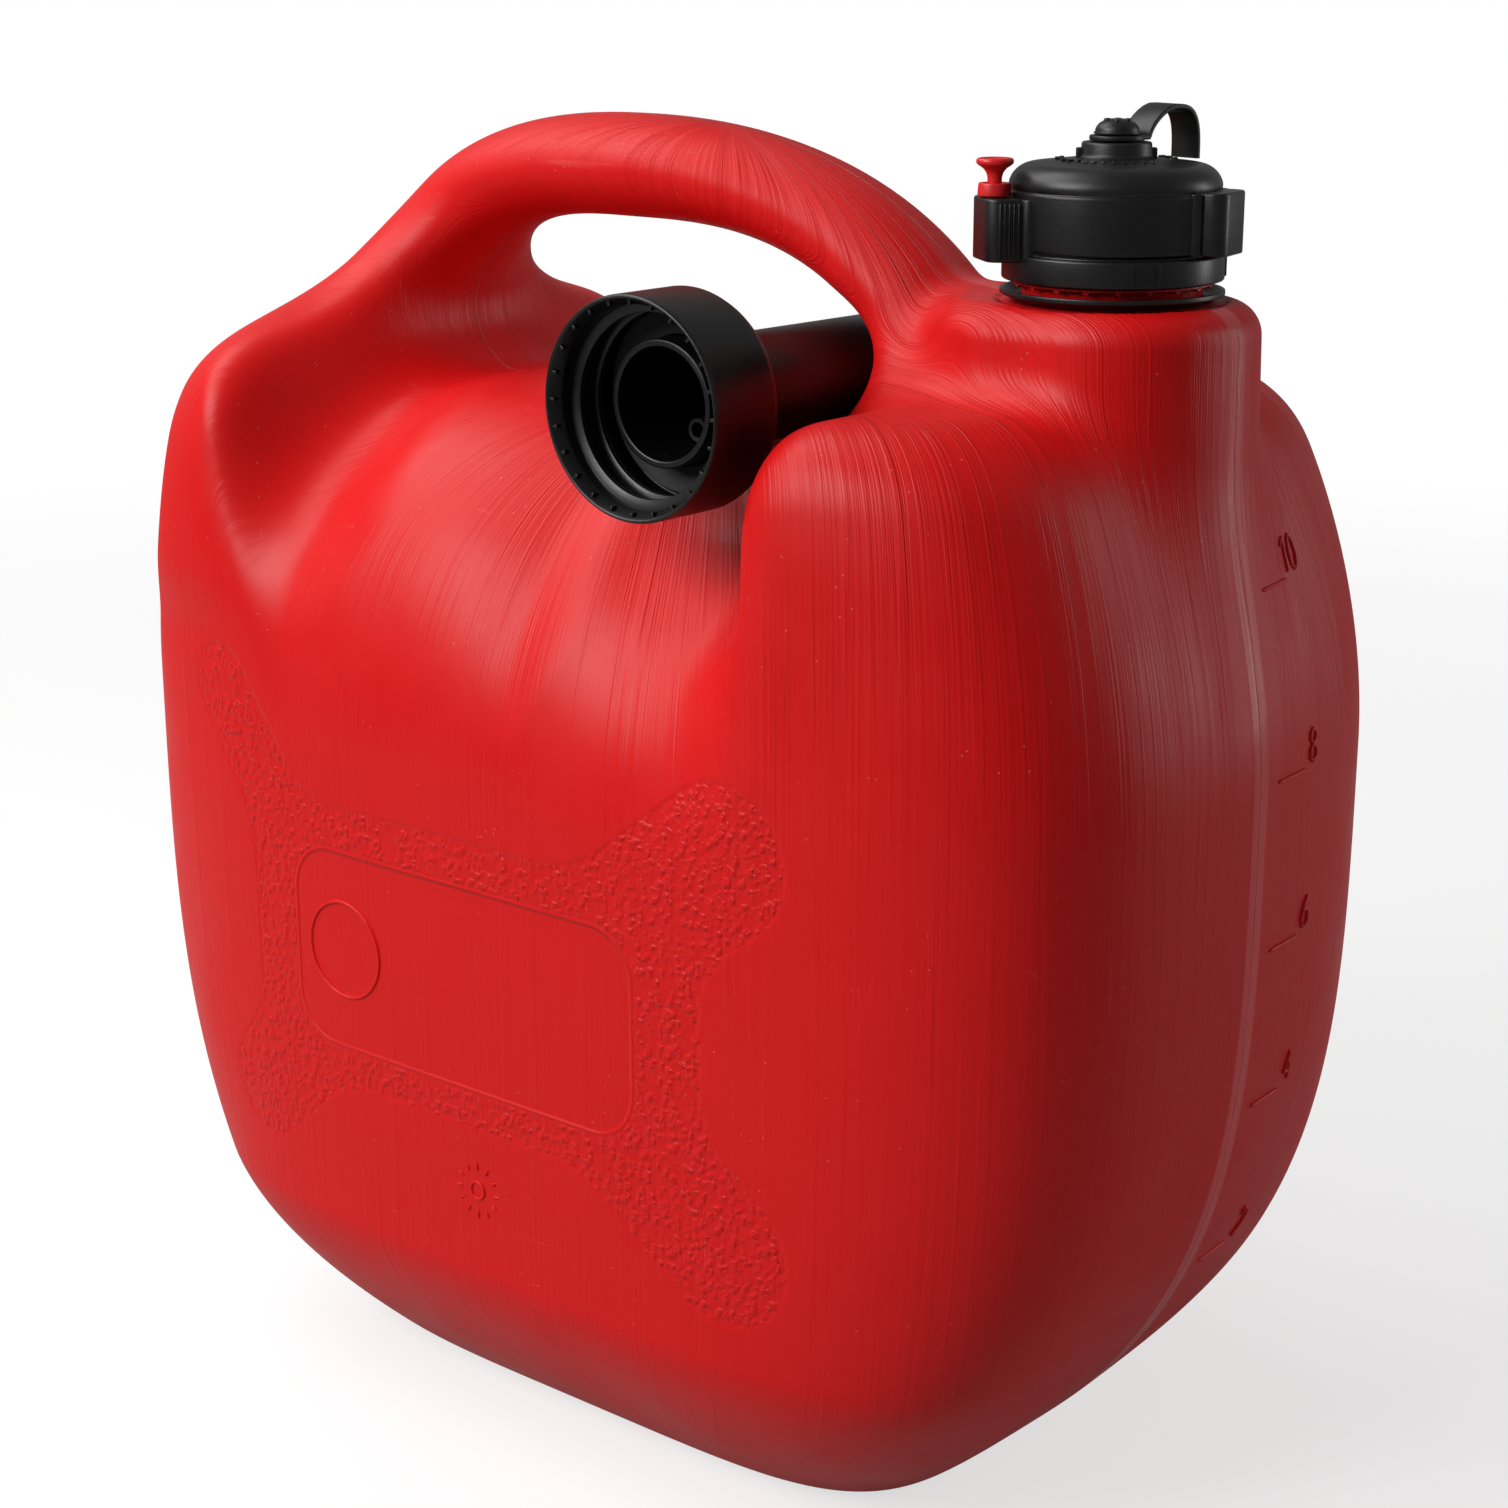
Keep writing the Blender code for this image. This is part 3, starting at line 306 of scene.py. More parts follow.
DIGITS = {
    "0": (((0.5, 0.0), (0.15, 0.16), (0.0, 0.5), (0.15, 0.84), (0.5, 1.0), (0.85, 0.84), (1.0, 0.5),
           (0.85, 0.16), (0.5, 0.0)),),
    "1": (((0.25, 0.78), (0.75, 1.0), (0.75, 0.0)),),
    "2": (((0.0, 0.76), (0.18, 0.95), (0.5, 1.0), (0.85, 0.9), (1.0, 0.68), (0.8, 0.42), (0.0, 0.0),
           (1.0, 0.0)),),
    "4": (((0.62, 1.0), (0.0, 0.32), (1.0, 0.32)), ((0.72, 0.6), (0.72, 0.0))),
    "6": (((0.85, 1.0), (0.35, 0.72), (0.04, 0.34), (0.2, 0.06), (0.55, 0.0), (0.9, 0.12), (1.0, 0.34),
           (0.82, 0.54), (0.5, 0.6), (0.14, 0.48)),),
    "8": (((0.5, 0.54), (0.14, 0.68), (0.1, 0.86), (0.5, 1.0), (0.9, 0.86), (0.86, 0.68), (0.5, 0.54),
           (0.08, 0.38), (0.05, 0.14), (0.5, 0.0), (0.95, 0.14), (0.92, 0.38), (0.5, 0.54)),),
}

# Paler reds that the can's red is drawn towards, and the colour of the seals; the land's red paints the
# highlight that the seam ridge catches
LAND_HIGHLIGHT_RED = (0.90, 0.16, 0.17, 1.0)
FLASH_RED = (0.86, 0.16, 0.15, 1.0)
SCRATCH_RED = (0.90, 0.22, 0.20, 1.0)
DUST_PINK = (0.75, 0.45, 0.42, 1.0)
SEAL_GREY = (0.045, 0.045, 0.045)
WHITE = (1.0, 1.0, 1.0, 1.0)
NO_COLOUR = (0.0, 0.0, 0.0, 1.0)

# Bumps in the can's surface, and the flat land along its end where the mould halves meet, where a highlight
# is painted into the colour and the roughness is lower
LAND_HALF = 0.0024
LAND_FADE_END = 0.0036
PEBBLE_EDGE_HEIGHT = 0.00022
PANEL_STEP_HEIGHT = 0.00018
PANEL_RIM_HEIGHT = 0.00030
FLASH_HEIGHT = 0.00030
CAN_GRAIN_HEIGHT = 0.000012
SCRATCH_HEIGHT = 0.00003

# Stage
FLOOR_RADIUS = 5.0
FLOOR_DROP = 0.0002
FLOOR_SIDES = 64
FLOOR_LIFT = 0.68
FLOOR_FADE = (0.45, 1.5)
REFLECTED_SHARE = 0.15
LAMP_TARGET = (0.0, 0.0, 0.17)
TOP_LAMP = ((-0.75, -0.25, 1.25), (0.9, 0.9))
FRONT_LAMP = ((-0.45, -1.25, 1.05), (1.0, 0.8))
SIDE_LAMP = ((1.08, 1.18, 0.42), (0.18, 1.1))
CAMERA_PLACE = (0.45644, -0.54397, 0.36827)
CAMERA_TURN = (math.radians(74.0006), 0.0, math.radians(39.4925))
SENSOR_WIDTH = 36.0


# ---------------------------------------------------------------- can body as a field


def smooth_min(a, b, blend):
    share = np.clip(0.5 + 0.5 * (b - a) / blend, 0.0, 1.0)
    return b + (a - b) * share - blend * share * (1.0 - share)


def smooth_max(a, b, blend):
    return -smooth_min(-a, -b, blend)


def ease(value):
    value = np.clip(value, 0.0, 1.0)
    return value * value * (3.0 - 2.0 * value)


def half_length(z):
    low = np.clip(1.0 - z / WIDEST_HEIGHT, 0.0, 1.0)
    high = np.maximum(z - WIDEST_HEIGHT, 0.0) / SHOULDER_RISE
    foot = END_FOOT_SHARE * low**END_FOOT_POWER
    shoulder = END_SHOULDER_SHARE * high**END_SHOULDER_POWER
    return 0.5 * LENGTH * np.maximum(1.0 - foot - shoulder, 0.1)


def half_depth(z):
    low = np.clip(1.0 - z / BOTTOM_ROUND, 0.0, 1.0)
    high = np.maximum(z - TOP_ROUND_START, 0.0) / TOP_ROUND_RISE
    foot = SIDE_FOOT_SHARE * low**SIDE_FOOT_POWER
    shoulder = SIDE_SHOULDER_SHARE * high**SIDE_SHOULDER_POWER
    return (0.5 * DEPTH - SEAM_SOFTNESS) * np.maximum(1.0 - foot - shoulder, 0.1)


def soft_abs(y):
    return np.sqrt(y * y + SEAM_SOFTNESS**2) - SEAM_SOFTNESS


def body_field(x, y, z):
    across = soft_abs(y)
    along = np.hypot(x, MIDDLE_SOFTNESS) + GABLE_SHARE * across
    share = (along / half_length(z)) ** PLAN_POWER + (across / half_depth(z)) ** PLAN_POWER
    share = share ** (1.0 / PLAN_POWER)
    field = np.hypot(along, across) * (1.0 - 1.0 / share)
    field = smooth_max(field, -z - FLAT_TRIM, BASE_BLEND)
    dome = 1.0 - ease((np.abs(x - DOME_X) - DOME_HALF) / DOME_FADE)
    top = TOP_HEIGHT - DOME_DROP * dome
    return smooth_max(field, z - top, TOP_BLEND + DOME_BLEND * dome)


def handle_field(x, y, z):
    along = x - HANDLE_X
    rise = np.maximum(z - HANDLE_FOOT_HEIGHT, 0.0)
    reach = np.where(along < 0.0, HANDLE_REACH_LEFT, HANDLE_REACH_RIGHT)
    power = np.where(along < 0.0, HANDLE_POWER_LEFT, HANDLE_POWER_RIGHT)
    share = (np.abs(along) / reach) ** power + (rise / HANDLE_RISE) ** power
    share = np.maximum(share ** (1.0 / power), MIDDLE_SOFTNESS / reach)
    radial = np.hypot(np.hypot(along, rise), MIDDLE_SOFTNESS) * (1.0 - 1.0 / share)
    low = ease((HANDLE_FLARE_TOP - z) / HANDLE_FLARE_RISE)
    left = ease(-along / HANDLE_ROOT_SPREAD)
    thick = 0.5 * HANDLE_THICKNESS + HANDLE_ROOT_THICKENING * low * left
    flare = HANDLE_ROOT_FLARE * left + HANDLE_NECK_FLARE * (1.0 - left)
    wide = 0.5 * HANDLE_WIDTH + flare * low
    square = 2.0 + HANDLE_ROOT_SQUARENESS * low * left
    field = (np.abs(radial) / thick) ** square + (np.abs(y) / wide) ** square
    field = (field ** (1.0 / square) - 1.0) * thick
    return smooth_max(field, HANDLE_FOOT_HEIGHT - HANDLE_ROOT_DEPTH - z, BLOCK_BLEND)


def block_field(x, y, z):
    centre = NECK_X - BLOCK_OFFSET
    draft = BLOCK_DRAFT_SHARE * (BLOCK_TOP - z)
    across = soft_abs(y)
    along = np.abs(x - centre) + np.where(x > centre, GABLE_SHARE * across, 0.0)
    side_x = along - 0.5 * BLOCK_LENGTH - draft + BLOCK_ROUND
    side_y = across - 0.5 * BLOCK_WIDTH - draft + BLOCK_ROUND
    plan = np.hypot(np.maximum(side_x, 0.0), np.maximum(side_y, 0.0))
    plan = plan + np.minimum(np.maximum(side_x, side_y), 0.0) - BLOCK_ROUND + BLOCK_EDGE
    level = np.abs(z - BLOCK_TOP + BLOCK_DEPTH) - BLOCK_DEPTH + BLOCK_EDGE - FLAT_TRIM
    outer = np.hypot(np.maximum(plan, 0.0), np.maximum(level, 0.0))
    return outer + np.minimum(np.maximum(plan, level), 0.0) - BLOCK_EDGE


def trough_field(x, side, z, centre, radius, start_y, start_z, slope):
    above = (side - start_y) * math.sin(slope) + (z - start_z) * math.cos(slope)
    below = np.minimum(above - radius, 0.0)
    return np.hypot(x - centre, below) - radius


def seat_field(x, side, z):
    drop = np.minimum(z - SPOUT_HEIGHT, 0.0)
    field = np.hypot(x - SPOUT_X, drop) - COLLAR_RADIUS - SEAT_CLEARANCE
    return smooth_max(field, SEAT_START_Y - side, SEAT_BLEND)


def ring_seat_field(x, y, z):
    return np.maximum(np.hypot(x - NECK_X, y) - RING_RADIUS - FLAT_TRIM, BLOCK_TOP - z)


def can_field(x, y, z):
    side = np.abs(y)
    field = body_field(x, y, z)
    field = smooth_max(field, -trough_field(x, side, z, *SCOOP), SCOOP_BLEND)
    eased = np.where(x < VALLEY[0], VALLEY[0] + VALLEY_LEFT_SHARE * (x - VALLEY[0]), x)
    field = smooth_max(field, -trough_field(eased, side, z, *VALLEY), VALLEY_BLEND)
    field = smooth_max(field, -seat_field(x, side, z), SEAT_BLEND)
    field = smooth_min(field, handle_field(x, y, z), HANDLE_BLEND)
    field = smooth_min(field, block_field(x, y, z), BLOCK_BLEND)
    channel = np.hypot(x - SPOUT_X, z - SPOUT_HEIGHT) - (TUBE_RADIUS + GAP)
    field = smooth_max(field, -channel, CHANNEL_BLEND)
    field = smooth_max(field, -ring_seat_field(x, y, z), 2.0 * FLAT_TRIM)
    return np.maximum(field, -z)


def skin_slope(points, probe):
    slope = np.empty_like(points)
    for axis in range(3):
        shift = np.zeros(3)
        shift[axis] = probe
        ahead = can_field(*(points + shift).T)
        behind = can_field(*(points - shift).T)
        slope[:, axis] = (ahead - behind) / (2.0 * probe)
    return slope


def settle(points, depth, step, rounds):
    """Moves points along the field's slope until they lie that deep under the skin."""
    for _ in range(rounds):
        value = can_field(*points.T) + depth
        slope = skin_slope(points, 0.1 * WALL)
        steep = np.maximum(np.sum(slope**2, axis=1), 0.1)
        move = -(value / steep)[:, None] * slope
        points = points + np.clip(move, -0.5 * step, 0.5 * step)
    return points


def skin_net(step, depth):
    """A net of quads over the can's skin: one point in each cell that the skin crosses."""
    high = HANDLE_FOOT_HEIGHT + HANDLE_RISE + HANDLE_THICKNESS
    axes = []
    for half in (0.5 * LENGTH, 0.5 * DEPTH):
        count = int(math.ceil((half + 3.0 * step) / step))
        axes.append((np.arange(2 * count) - count + 0.5) * step)
    count = int(math.ceil((high + 6.0 * step) / step))
    axes.append((np.arange(count) - 2.5) * step)
    inside = can_field(*np.meshgrid(*axes, indexing="ij", sparse=True)) + depth < 0.0
    shape = tuple(n - 1 for n in inside.shape)
    total = np.zeros(shape, dtype=int)
    for i in (0, 1):
        for j in (0, 1):
            for k in (0, 1):
                total += inside[i : i + shape[0], j : j + shape[1], k : k + shape[2]]
    cells = (total > 0) & (total < 8)
    index = np.full(shape, -1)
    index[cells] = np.arange(np.count_nonzero(cells))
    low = np.array([axis[0] for axis in axes])
    points = settle(low + (np.argwhere(cells) + 0.5) * step, depth, step, 8)
    quads = []
    for axis in range(3):
        before = np.take(inside, range(shape[axis]), axis)
        after = np.take(inside, range(1, shape[axis] + 1), axis)
        places = np.argwhere(before != after)
        first = np.eye(3, dtype=int)[(axis + 1) % 3]
        second = np.eye(3, dtype=int)[(axis + 2) % 3]
        corners = [places, places - first, places - first - second, places - second]
        ring = np.stack([index[tuple(c.T)] for c in corners], axis=1)
        leaving = before[tuple(places.T)]
        quads.append(np.where(leaving[:, None], ring, ring[:, ::-1]))
    return points, np.vstack(quads)


def split_quads(points, quads):
    pairs = np.sort(np.stack([quads, np.roll(quads, -1, axis=1)], axis=2).reshape(-1, 2), axis=1)
    edges, which = np.unique(pairs, axis=0, return_inverse=True)
    which = which.reshape(-1, 4) + len(points)
    middle = np.arange(len(quads)) + len(points) + len(edges)
    grown = np.vstack([points, points[edges].mean(axis=1), points[quads].mean(axis=1)])
    parts = [np.stack([quads[:, k], which[:, k], middle, which[:, k - 1]], axis=1) for k in range(4)]
    return grown, np.vstack(parts)


def even_out(points, quads, share):
    """Draws each point towards the mean of its neighbours."""
    ends = np.vstack([quads[:, [k, (k + 1) % 4]] for k in range(4)])
    count = np.bincount(ends[:, 0], minlength=len(points)).astype(float)
    mean = np.empty_like(points)
    for axis in range(3):
        mean[:, axis] = np.bincount(ends[:, 0], weights=points[ends[:, 1], axis], minlength=len(points))
    mean = mean / np.maximum(count, 1.0)[:, None]
    return points + share * (mean - points)


# ---------------------------------------------------------------- distances used by the moulded marks


def rounded_box_distance(x, z, middle, half, corner):
    over_x = np.abs(x - middle[0]) - half[0] + corner
    over_z = np.abs(z - middle[1]) - half[1] + corner
    outer = np.hypot(np.maximum(over_x, 0.0), np.maximum(over_z, 0.0))
    return outer + np.minimum(np.maximum(over_x, over_z), 0.0) - corner


def arm_distance(x, z, start, end, radius):
    run = (end[0] - start[0], end[1] - start[1])
    along = ((x - start[0]) * run[0] + (z - start[1]) * run[1]) / (run[0] ** 2 + run[1] ** 2)
    along = np.clip(along, 0.0, 1.0)
    return np.hypot(x - start[0] - along * run[0], z - start[1] - along * run[1]) - radius


def grain_distance(x, z):
    field = rounded_box_distance(x, z, GRAIN_MIDDLE, GRAIN_HALF, GRAIN_CORNER)
    for start, end, radius in GRAIN_ARMS:
        field = smooth_min(field, arm_distance(x, z, start, end, radius), GRAIN_BLEND)
    return field


def panel_distance(x, z):
    return rounded_box_distance(x, z, PANEL_MIDDLE, PANEL_HALF, PANEL_CORNER)


# ---------------------------------------------------------------- meshes


def piece(name, points, faces, finish, body):
    mesh = bpy.data.meshes.new(name)
    mesh.from_pydata([tuple(p) for p in points], [], [tuple(f) for f in faces])
    mesh.materials.append(finish)
    made = bpy.data.objects.new(name, mesh)
    bpy.context.scene.collection.objects.link(made)
    if body is not None:
        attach(made, body)
    return made


def shade(made, angle=40.0):
    made.data.shade_smooth()
    made.data.set_sharp_from_angle(angle=math.radians(angle))


def combine(parts):
    points = []
    faces = []
    for some_points, some_faces in parts:
        start = len(points)
        points += [tuple(p) for p in some_points]
        faces += [tuple(i + start for i in face) for face in some_faces]
    return points, faces


def moved(part, matrix):
    points, faces = part
    return [tuple(matrix @ Vector(p)) for p in points], faces


def softened(outline, radius, steps=3):
    """A closed outline with each corner rounded, as far as its sides allow."""
    made = []
    for n, corner in enumerate(outline):
        before = outline[n - 1]
        after = outline[(n + 1) % len(outline)]
        if corner[0] == 0.0:
            made.append(corner)
            continue
        ends = []
        for other in (before, after):
            span = math.hypot(other[0] - corner[0], other[1] - corner[1])
            share = min(radius, 0.45 * span) / span
            ends.append(tuple(corner[i] + (other[i] - corner[i]) * share for i in (0, 1)))
        for step in range(steps + 1):
            t = step / steps
            weights = ((1.0 - t) ** 2, 2.0 * t * (1.0 - t), t * t)
            made.append(tuple(weights[0] * ends[0][i] + weights[1] * corner[i] + weights[2] * ends[1][i]
                              for i in (0, 1)))
    return made


def turned(outline, sides):
    """A shape turned about Z from a closed outline of (radius, height)."""
    points = []
    rings = []
    for radius, height in outline:
        count = sides if radius > 0.0 else 1
        rings.append(list(range(len(points), len(points) + count)))
        for s in range(count):
            angle = 2.0 * math.pi * s / sides
            points.append((radius * math.cos(angle), radius * math.sin(angle), height))
    faces = []
    for one, two in zip(rings, rings[1:] + rings[:1]):
        if len(one) == 1 and len(two) == 1:
            continue
        for s in range(sides):
            after = (s + 1) % sides
            ring = [one[s % len(one)], one[after % len(one)], two[after % len(two)], two[s % len(two)]]
            faces.append(list(dict.fromkeys(ring)))
    return points, faces


def grown_outline(plan, amount):
    """The plan pushed outwards by an amount, or inwards where it is negative."""
    made = []
    for n, corner in enumerate(plan):
        before = plan[n - 1]
        after = plan[(n + 1) % len(plan)]
        along = (after[0] - before[0], after[1] - before[1])
        span = math.hypot(*along)
        made.append((corner[0] + amount * along[1] / span, corner[1] - amount * along[0] / span))
    return made


def slab(plan, low, high, edge, steps=3):
    """An upright slab on an anticlockwise plan, with its two rims rounded."""
    levels = []
    for step in range(steps + 1):
        angle = 0.5 * math.pi * step / steps
        levels.append((-edge * (1.0 - math.sin(angle)), low + edge * (1.0 - math.cos(angle))))
    for step in range(steps + 1):
        angle = 0.5 * math.pi * step / steps
        levels.append((-edge * (1.0 - math.cos(angle)), high - edge * (1.0 - math.sin(angle))))
    points = []
    for inset, height in levels:
        points += [(x, y, height) for x, y in grown_outline(plan, inset)]
    count = len(plan)
    faces = [list(range(count))[::-1], [len(points) - count + n for n in range(count)]]
    for level in range(len(levels) - 1):
        base = level * count
        for n in range(count):
            after = (n + 1) % count
            faces.append([base + n, base + after, base + count + after, base + count + n])
    return points, faces


def swept(stations, closed=False):
    """Joins rings of points, all of one length, into a skin with closed ends."""
    count = len(stations[0])
    points = [p for ring in stations for p in ring]
    faces = []
    last = len(stations) if closed else len(stations) - 1
    for one in range(last):
        two = (one + 1) % len(stations)
        for n in range(count):
            after = (n + 1) % count
            faces.append([one * count + n, two * count + n, two * count + after, one * count + after])
    if not closed:
        faces.append(list(range(count)))
        faces.append([(len(stations) - 1) * count + n for n in range(count)][::-1])
    return points, faces


def thread(radius, side, start, turns, depth, root, crest, per_turn=72):
    """A helical ridge; side is 1 on the outside of a wall and -1 on the inside."""
    count = int(round(turns * per_turn))
    stations = []
    for step in range(count + 1):
        angle = 2.0 * math.pi * step / per_turn
        fade = min(1.0, step / (0.15 * per_turn), (count - step) / (0.15 * per_turn))
        reach = side * depth * math.sin(0.5 * math.pi * fade)
        middle = start + THREAD_PITCH * step / per_turn
        section = softened([(radius - side * 0.0006, -0.5 * root), (radius + reach, -0.5 * crest),
                            (radius + reach, 0.5 * crest), (radius - side * 0.0006, 0.5 * root)], 0.0003, 2)
        ring = [(r * math.cos(angle), r * math.sin(angle), middle + h) for r, h in section]
        stations.append(ring[::side])
    return swept(stations)


def stroke(path, width, height, place, closed=False):
    """A low rounded ridge along a path of (a, b); place turns them into a point and its outward direction."""
    located = [place(a, b) for a, b in path]
    stations = []
    for n, (point, out) in enumerate(located):
        before = located[n - 1][0] if n or closed else point
        after = located[(n + 1) % len(located)][0] if n + 1 < len(located) or closed else point
        along = (after - before).normalized()
        across = along.cross(out).normalized()
        fade = 1.0 if closed or 0 < n < len(located) - 1 else 0.35
        ring = []
        for step in range(7):
            angle = math.pi * step / 6
            ring.append(tuple(point + across * (0.5 * width * fade * math.cos(angle))
                              + out * (height * fade * math.sin(angle))))
        ring.append(tuple(point - across * (0.55 * width * fade) - out * height))
        ring.append(tuple(point + across * (0.55 * width * fade) - out * height))
        stations.append(ring)
    return swept(stations, closed)


def fine_path(path, step):
    made = []
    for one, two in zip(path, path[1:]):
        count = max(1, int(math.ceil(math.hypot(two[0] - one[0], two[1] - one[1]) / step)))
        made += [(one[0] + (two[0] - one[0]) * n / count, one[1] + (two[1] - one[1]) * n / count)
                 for n in range(count)]
    return made + [path[-1]]


def skin_places(pairs, axis):
    """Points on the can's outside over (x, z) pairs on the front, or (y, z) pairs on the neck's end."""
    pairs = np.array(pairs)
    near = np.full(len(pairs), 0.04)
    far = np.full(len(pairs), 0.17)
    for _ in range(40):
        middle = 0.5 * (near + far)
        if axis == "front":
            value = can_field(pairs[:, 0], -middle, pairs[:, 1])
        else:
            value = can_field(middle, pairs[:, 0], pairs[:, 1])
        near = np.where(value < 0.0, middle, near)
        far = np.where(value < 0.0, far, middle)
    if axis == "front":
        points = np.stack([pairs[:, 0], -near, pairs[:, 1]], axis=1)
    else:
        points = np.stack([near, pairs[:, 0], pairs[:, 1]], axis=1)
    return points, skin_slope(points, 0.0005)


def skin_stroke(path, width, height, axis, closed=False):
    points, slope = skin_places(path, axis)
    located = {}
    for pair, point, out in zip(path, points, slope):
        located[pair] = (Vector(point), Vector(out).normalized())
    return stroke(path, width, height, lambda a, b: located[(a, b)], closed)


# ---------------------------------------------------------------- shader groups and materials


def add(tree, kind, **values):
    made = tree.nodes.new(kind)
    for name, value in values.items():
        setattr(made, name, value)
    return made


def math_node(tree, operation, first, second=None):
    made = add(tree, "ShaderNodeMath", operation=operation)
    for n, value in enumerate((first, second)):
        if value is None:
            continue
        if isinstance(value, (int, float)):
            made.inputs[n].default_value = value
        else:
            tree.links.new(value, made.inputs[n])
    return made.outputs[0]


def between(tree, value, low, high, to_low=0.0, to_high=1.0, smooth=True):
    made = add(tree, "ShaderNodeMapRange", interpolation_type="SMOOTHSTEP" if smooth else "LINEAR")
    tree.links.new(value, made.inputs["Value"])
    for name, number in (("From Min", low), ("From Max", high), ("To Min", to_low), ("To Max", to_high)):
        if isinstance(number, (int, float)):
            made.inputs[name].default_value = number
        else:
            tree.links.new(number, made.inputs[name])
    return made.outputs["Result"]


def stretched(tree, vector, scale):
    made = add(tree, "ShaderNodeVectorMath", operation="MULTIPLY")
    tree.links.new(vector, made.inputs[0])
    made.inputs[1].default_value = scale
    return made.outputs[0]


def noise(tree, vector, scale, detail=2.0, roughness=0.5, distortion=0.0):
    made = add(tree, "ShaderNodeTexNoise")
    tree.links.new(vector, made.inputs["Vector"])
    made.inputs["Scale"].default_value = scale
    made.inputs["Detail"].default_value = detail
    made.inputs["Roughness"].default_value = roughness
    made.inputs["Distortion"].default_value = distortion
    return made.outputs["Fac"]


def new_group(name, inputs, outputs):
    """An empty shader group with named float or vector inputs and float outputs."""
    tree = bpy.data.node_groups.new(name, "ShaderNodeTree")
    for label, kind, default in inputs:
        socket = tree.interface.new_socket(label, in_out="INPUT", socket_type=kind)
        if default is not None:
            socket.default_value = default
    for label in outputs:
        tree.interface.new_socket(label, in_out="OUTPUT", socket_type="NodeSocketFloat")
    return tree, add(tree, "NodeGroupInput"), add(tree, "NodeGroupOutput")


def group_once(name, build):
    return bpy.data.node_groups.get(name) or build(name)


def build_fine_grain(name):
    """The faint pebble of a blasted mould, with a slow drift in its gloss."""
    inputs = (("Position", "NodeSocketVector", None), ("Grain Scale", "NodeSocketFloat", 1800.0))
    tree, given, out = new_group(name, inputs, ("Height", "Gloss Drift"))
    fine = add(tree, "ShaderNodeTexNoise")
    tree.links.new(given.outputs["Position"], fine.inputs["Vector"])
    tree.links.new(given.outputs["Grain Scale"], fine.inputs["Scale"])
    fine.inputs["Detail"].default_value = 3.0
    tree.links.new(fine.outputs["Fac"], out.inputs["Height"])
    tree.links.new(noise(tree, given.outputs["Position"], 38.0, 3.0), out.inputs["Gloss Drift"])
    return tree


def build_handling_marks(name):
    """Fine scratches that run several ways, in patches."""
    inputs = (("Position", "NodeSocketVector", None), ("Amount", "NodeSocketFloat", 0.5))
    tree, given, out = new_group(name, inputs, ("Scratches", "Rubbed"))
    position = given.outputs["Position"]
    first = noise(tree, stretched(tree, position, (420.0, 420.0, 16.0)), 1.0, 2.0, 0.6, 0.6)
    second = noise(tree, stretched(tree, position, (24.0, 300.0, 420.0)), 1.0, 2.0, 0.6, 0.8)
    thin_first = between(tree, first, 0.69, 0.75)
    thin_second = between(tree, second, 0.70, 0.76)
    patches = between(tree, noise(tree, position, 24.0, 2.0), 0.50, 0.68)
    lines = math_node(tree, "MAXIMUM", thin_first, thin_second)
    lines = math_node(tree, "MULTIPLY", lines, patches)
    tree.links.new(math_node(tree, "MULTIPLY", lines, given.outputs["Amount"]), out.inputs["Scratches"])
    rubbed = between(tree, noise(tree, position, 60.0, 4.0, 0.65), 0.56, 0.78)
    tree.links.new(math_node(tree, "MULTIPLY", rubbed, given.outputs["Amount"]), out.inputs["Rubbed"])
    return tree


def build_dust(name):
    """Small pale specks, in patches."""
    inputs = (("Position", "NodeSocketVector", None), ("Amount", "NodeSocketFloat", 0.5))
    tree, given, out = new_group(name, inputs, ("Specks",))
    cells = add(tree, "ShaderNodeTexVoronoi")
    tree.links.new(given.outputs["Position"], cells.inputs["Vector"])
    cells.inputs["Scale"].default_value = 420.0
    dots = between(tree, cells.outputs["Distance"], 0.05, 0.13, 1.0, 0.0)
    some = between(tree, noise(tree, given.outputs["Position"], 150.0, 1.0), 0.58, 0.66)
    dots = math_node(tree, "MULTIPLY", dots, some)
    tree.links.new(math_node(tree, "MULTIPLY", dots, given.outputs["Amount"]), out.inputs["Specks"])
    return tree


def build_moulding_streaks(name):
    """Lines that the die leaves along the drawn plastic, at a place round the can given by Way."""
    inputs = (("Way", "NodeSocketFloat", 0.0), ("Position", "NodeSocketVector", None),
              ("Strength", "NodeSocketFloat", 0.5))
    tree, given, out = new_group(name, inputs, ("Height", "Shade"))
    parts = add(tree, "ShaderNodeSeparateXYZ")
    tree.links.new(given.outputs["Position"], parts.inputs[0])
    heights = []
    for fineness, wander in ((1500.0, 5.0), (560.0, 4.0), (170.0, 3.0)):
        place = add(tree, "ShaderNodeCombineXYZ")
        tree.links.new(math_node(tree, "MULTIPLY", given.outputs["Way"], fineness), place.inputs[0])
        tree.links.new(math_node(tree, "MULTIPLY", parts.outputs[1], wander), place.inputs[1])
        tree.links.new(math_node(tree, "MULTIPLY", parts.outputs[2], 2.5 * wander), place.inputs[2])
        heights.append(noise(tree, place.outputs[0], 1.0, 2.0, 0.55))
    fine = between(tree, heights[0], 0.3, 0.7)
    lines = math_node(tree, "ADD", math_node(tree, "MULTIPLY", fine, 0.45),
                      math_node(tree, "MULTIPLY", between(tree, heights[1], 0.50, 0.62), 0.55))
    patchy = between(tree, heights[2], 0.32, 0.66, 0.25, 1.0)
    lines = math_node(tree, "MULTIPLY", lines, patchy)
    lines = math_node(tree, "MULTIPLY", lines, given.outputs["Strength"])
    tree.links.new(lines, out.inputs["Height"])
    tree.links.new(math_node(tree, "MULTIPLY", heights[2], given.outputs["Strength"]), out.inputs["Shade"])
    return tree


def new_material(name):
    made = bpy.data.materials.new(name)
    made.use_nodes = True
    tree = made.node_tree
    position = add(tree, "ShaderNodeTexCoord").outputs["Object"]
    return made, tree, tree.nodes["Principled BSDF"], position


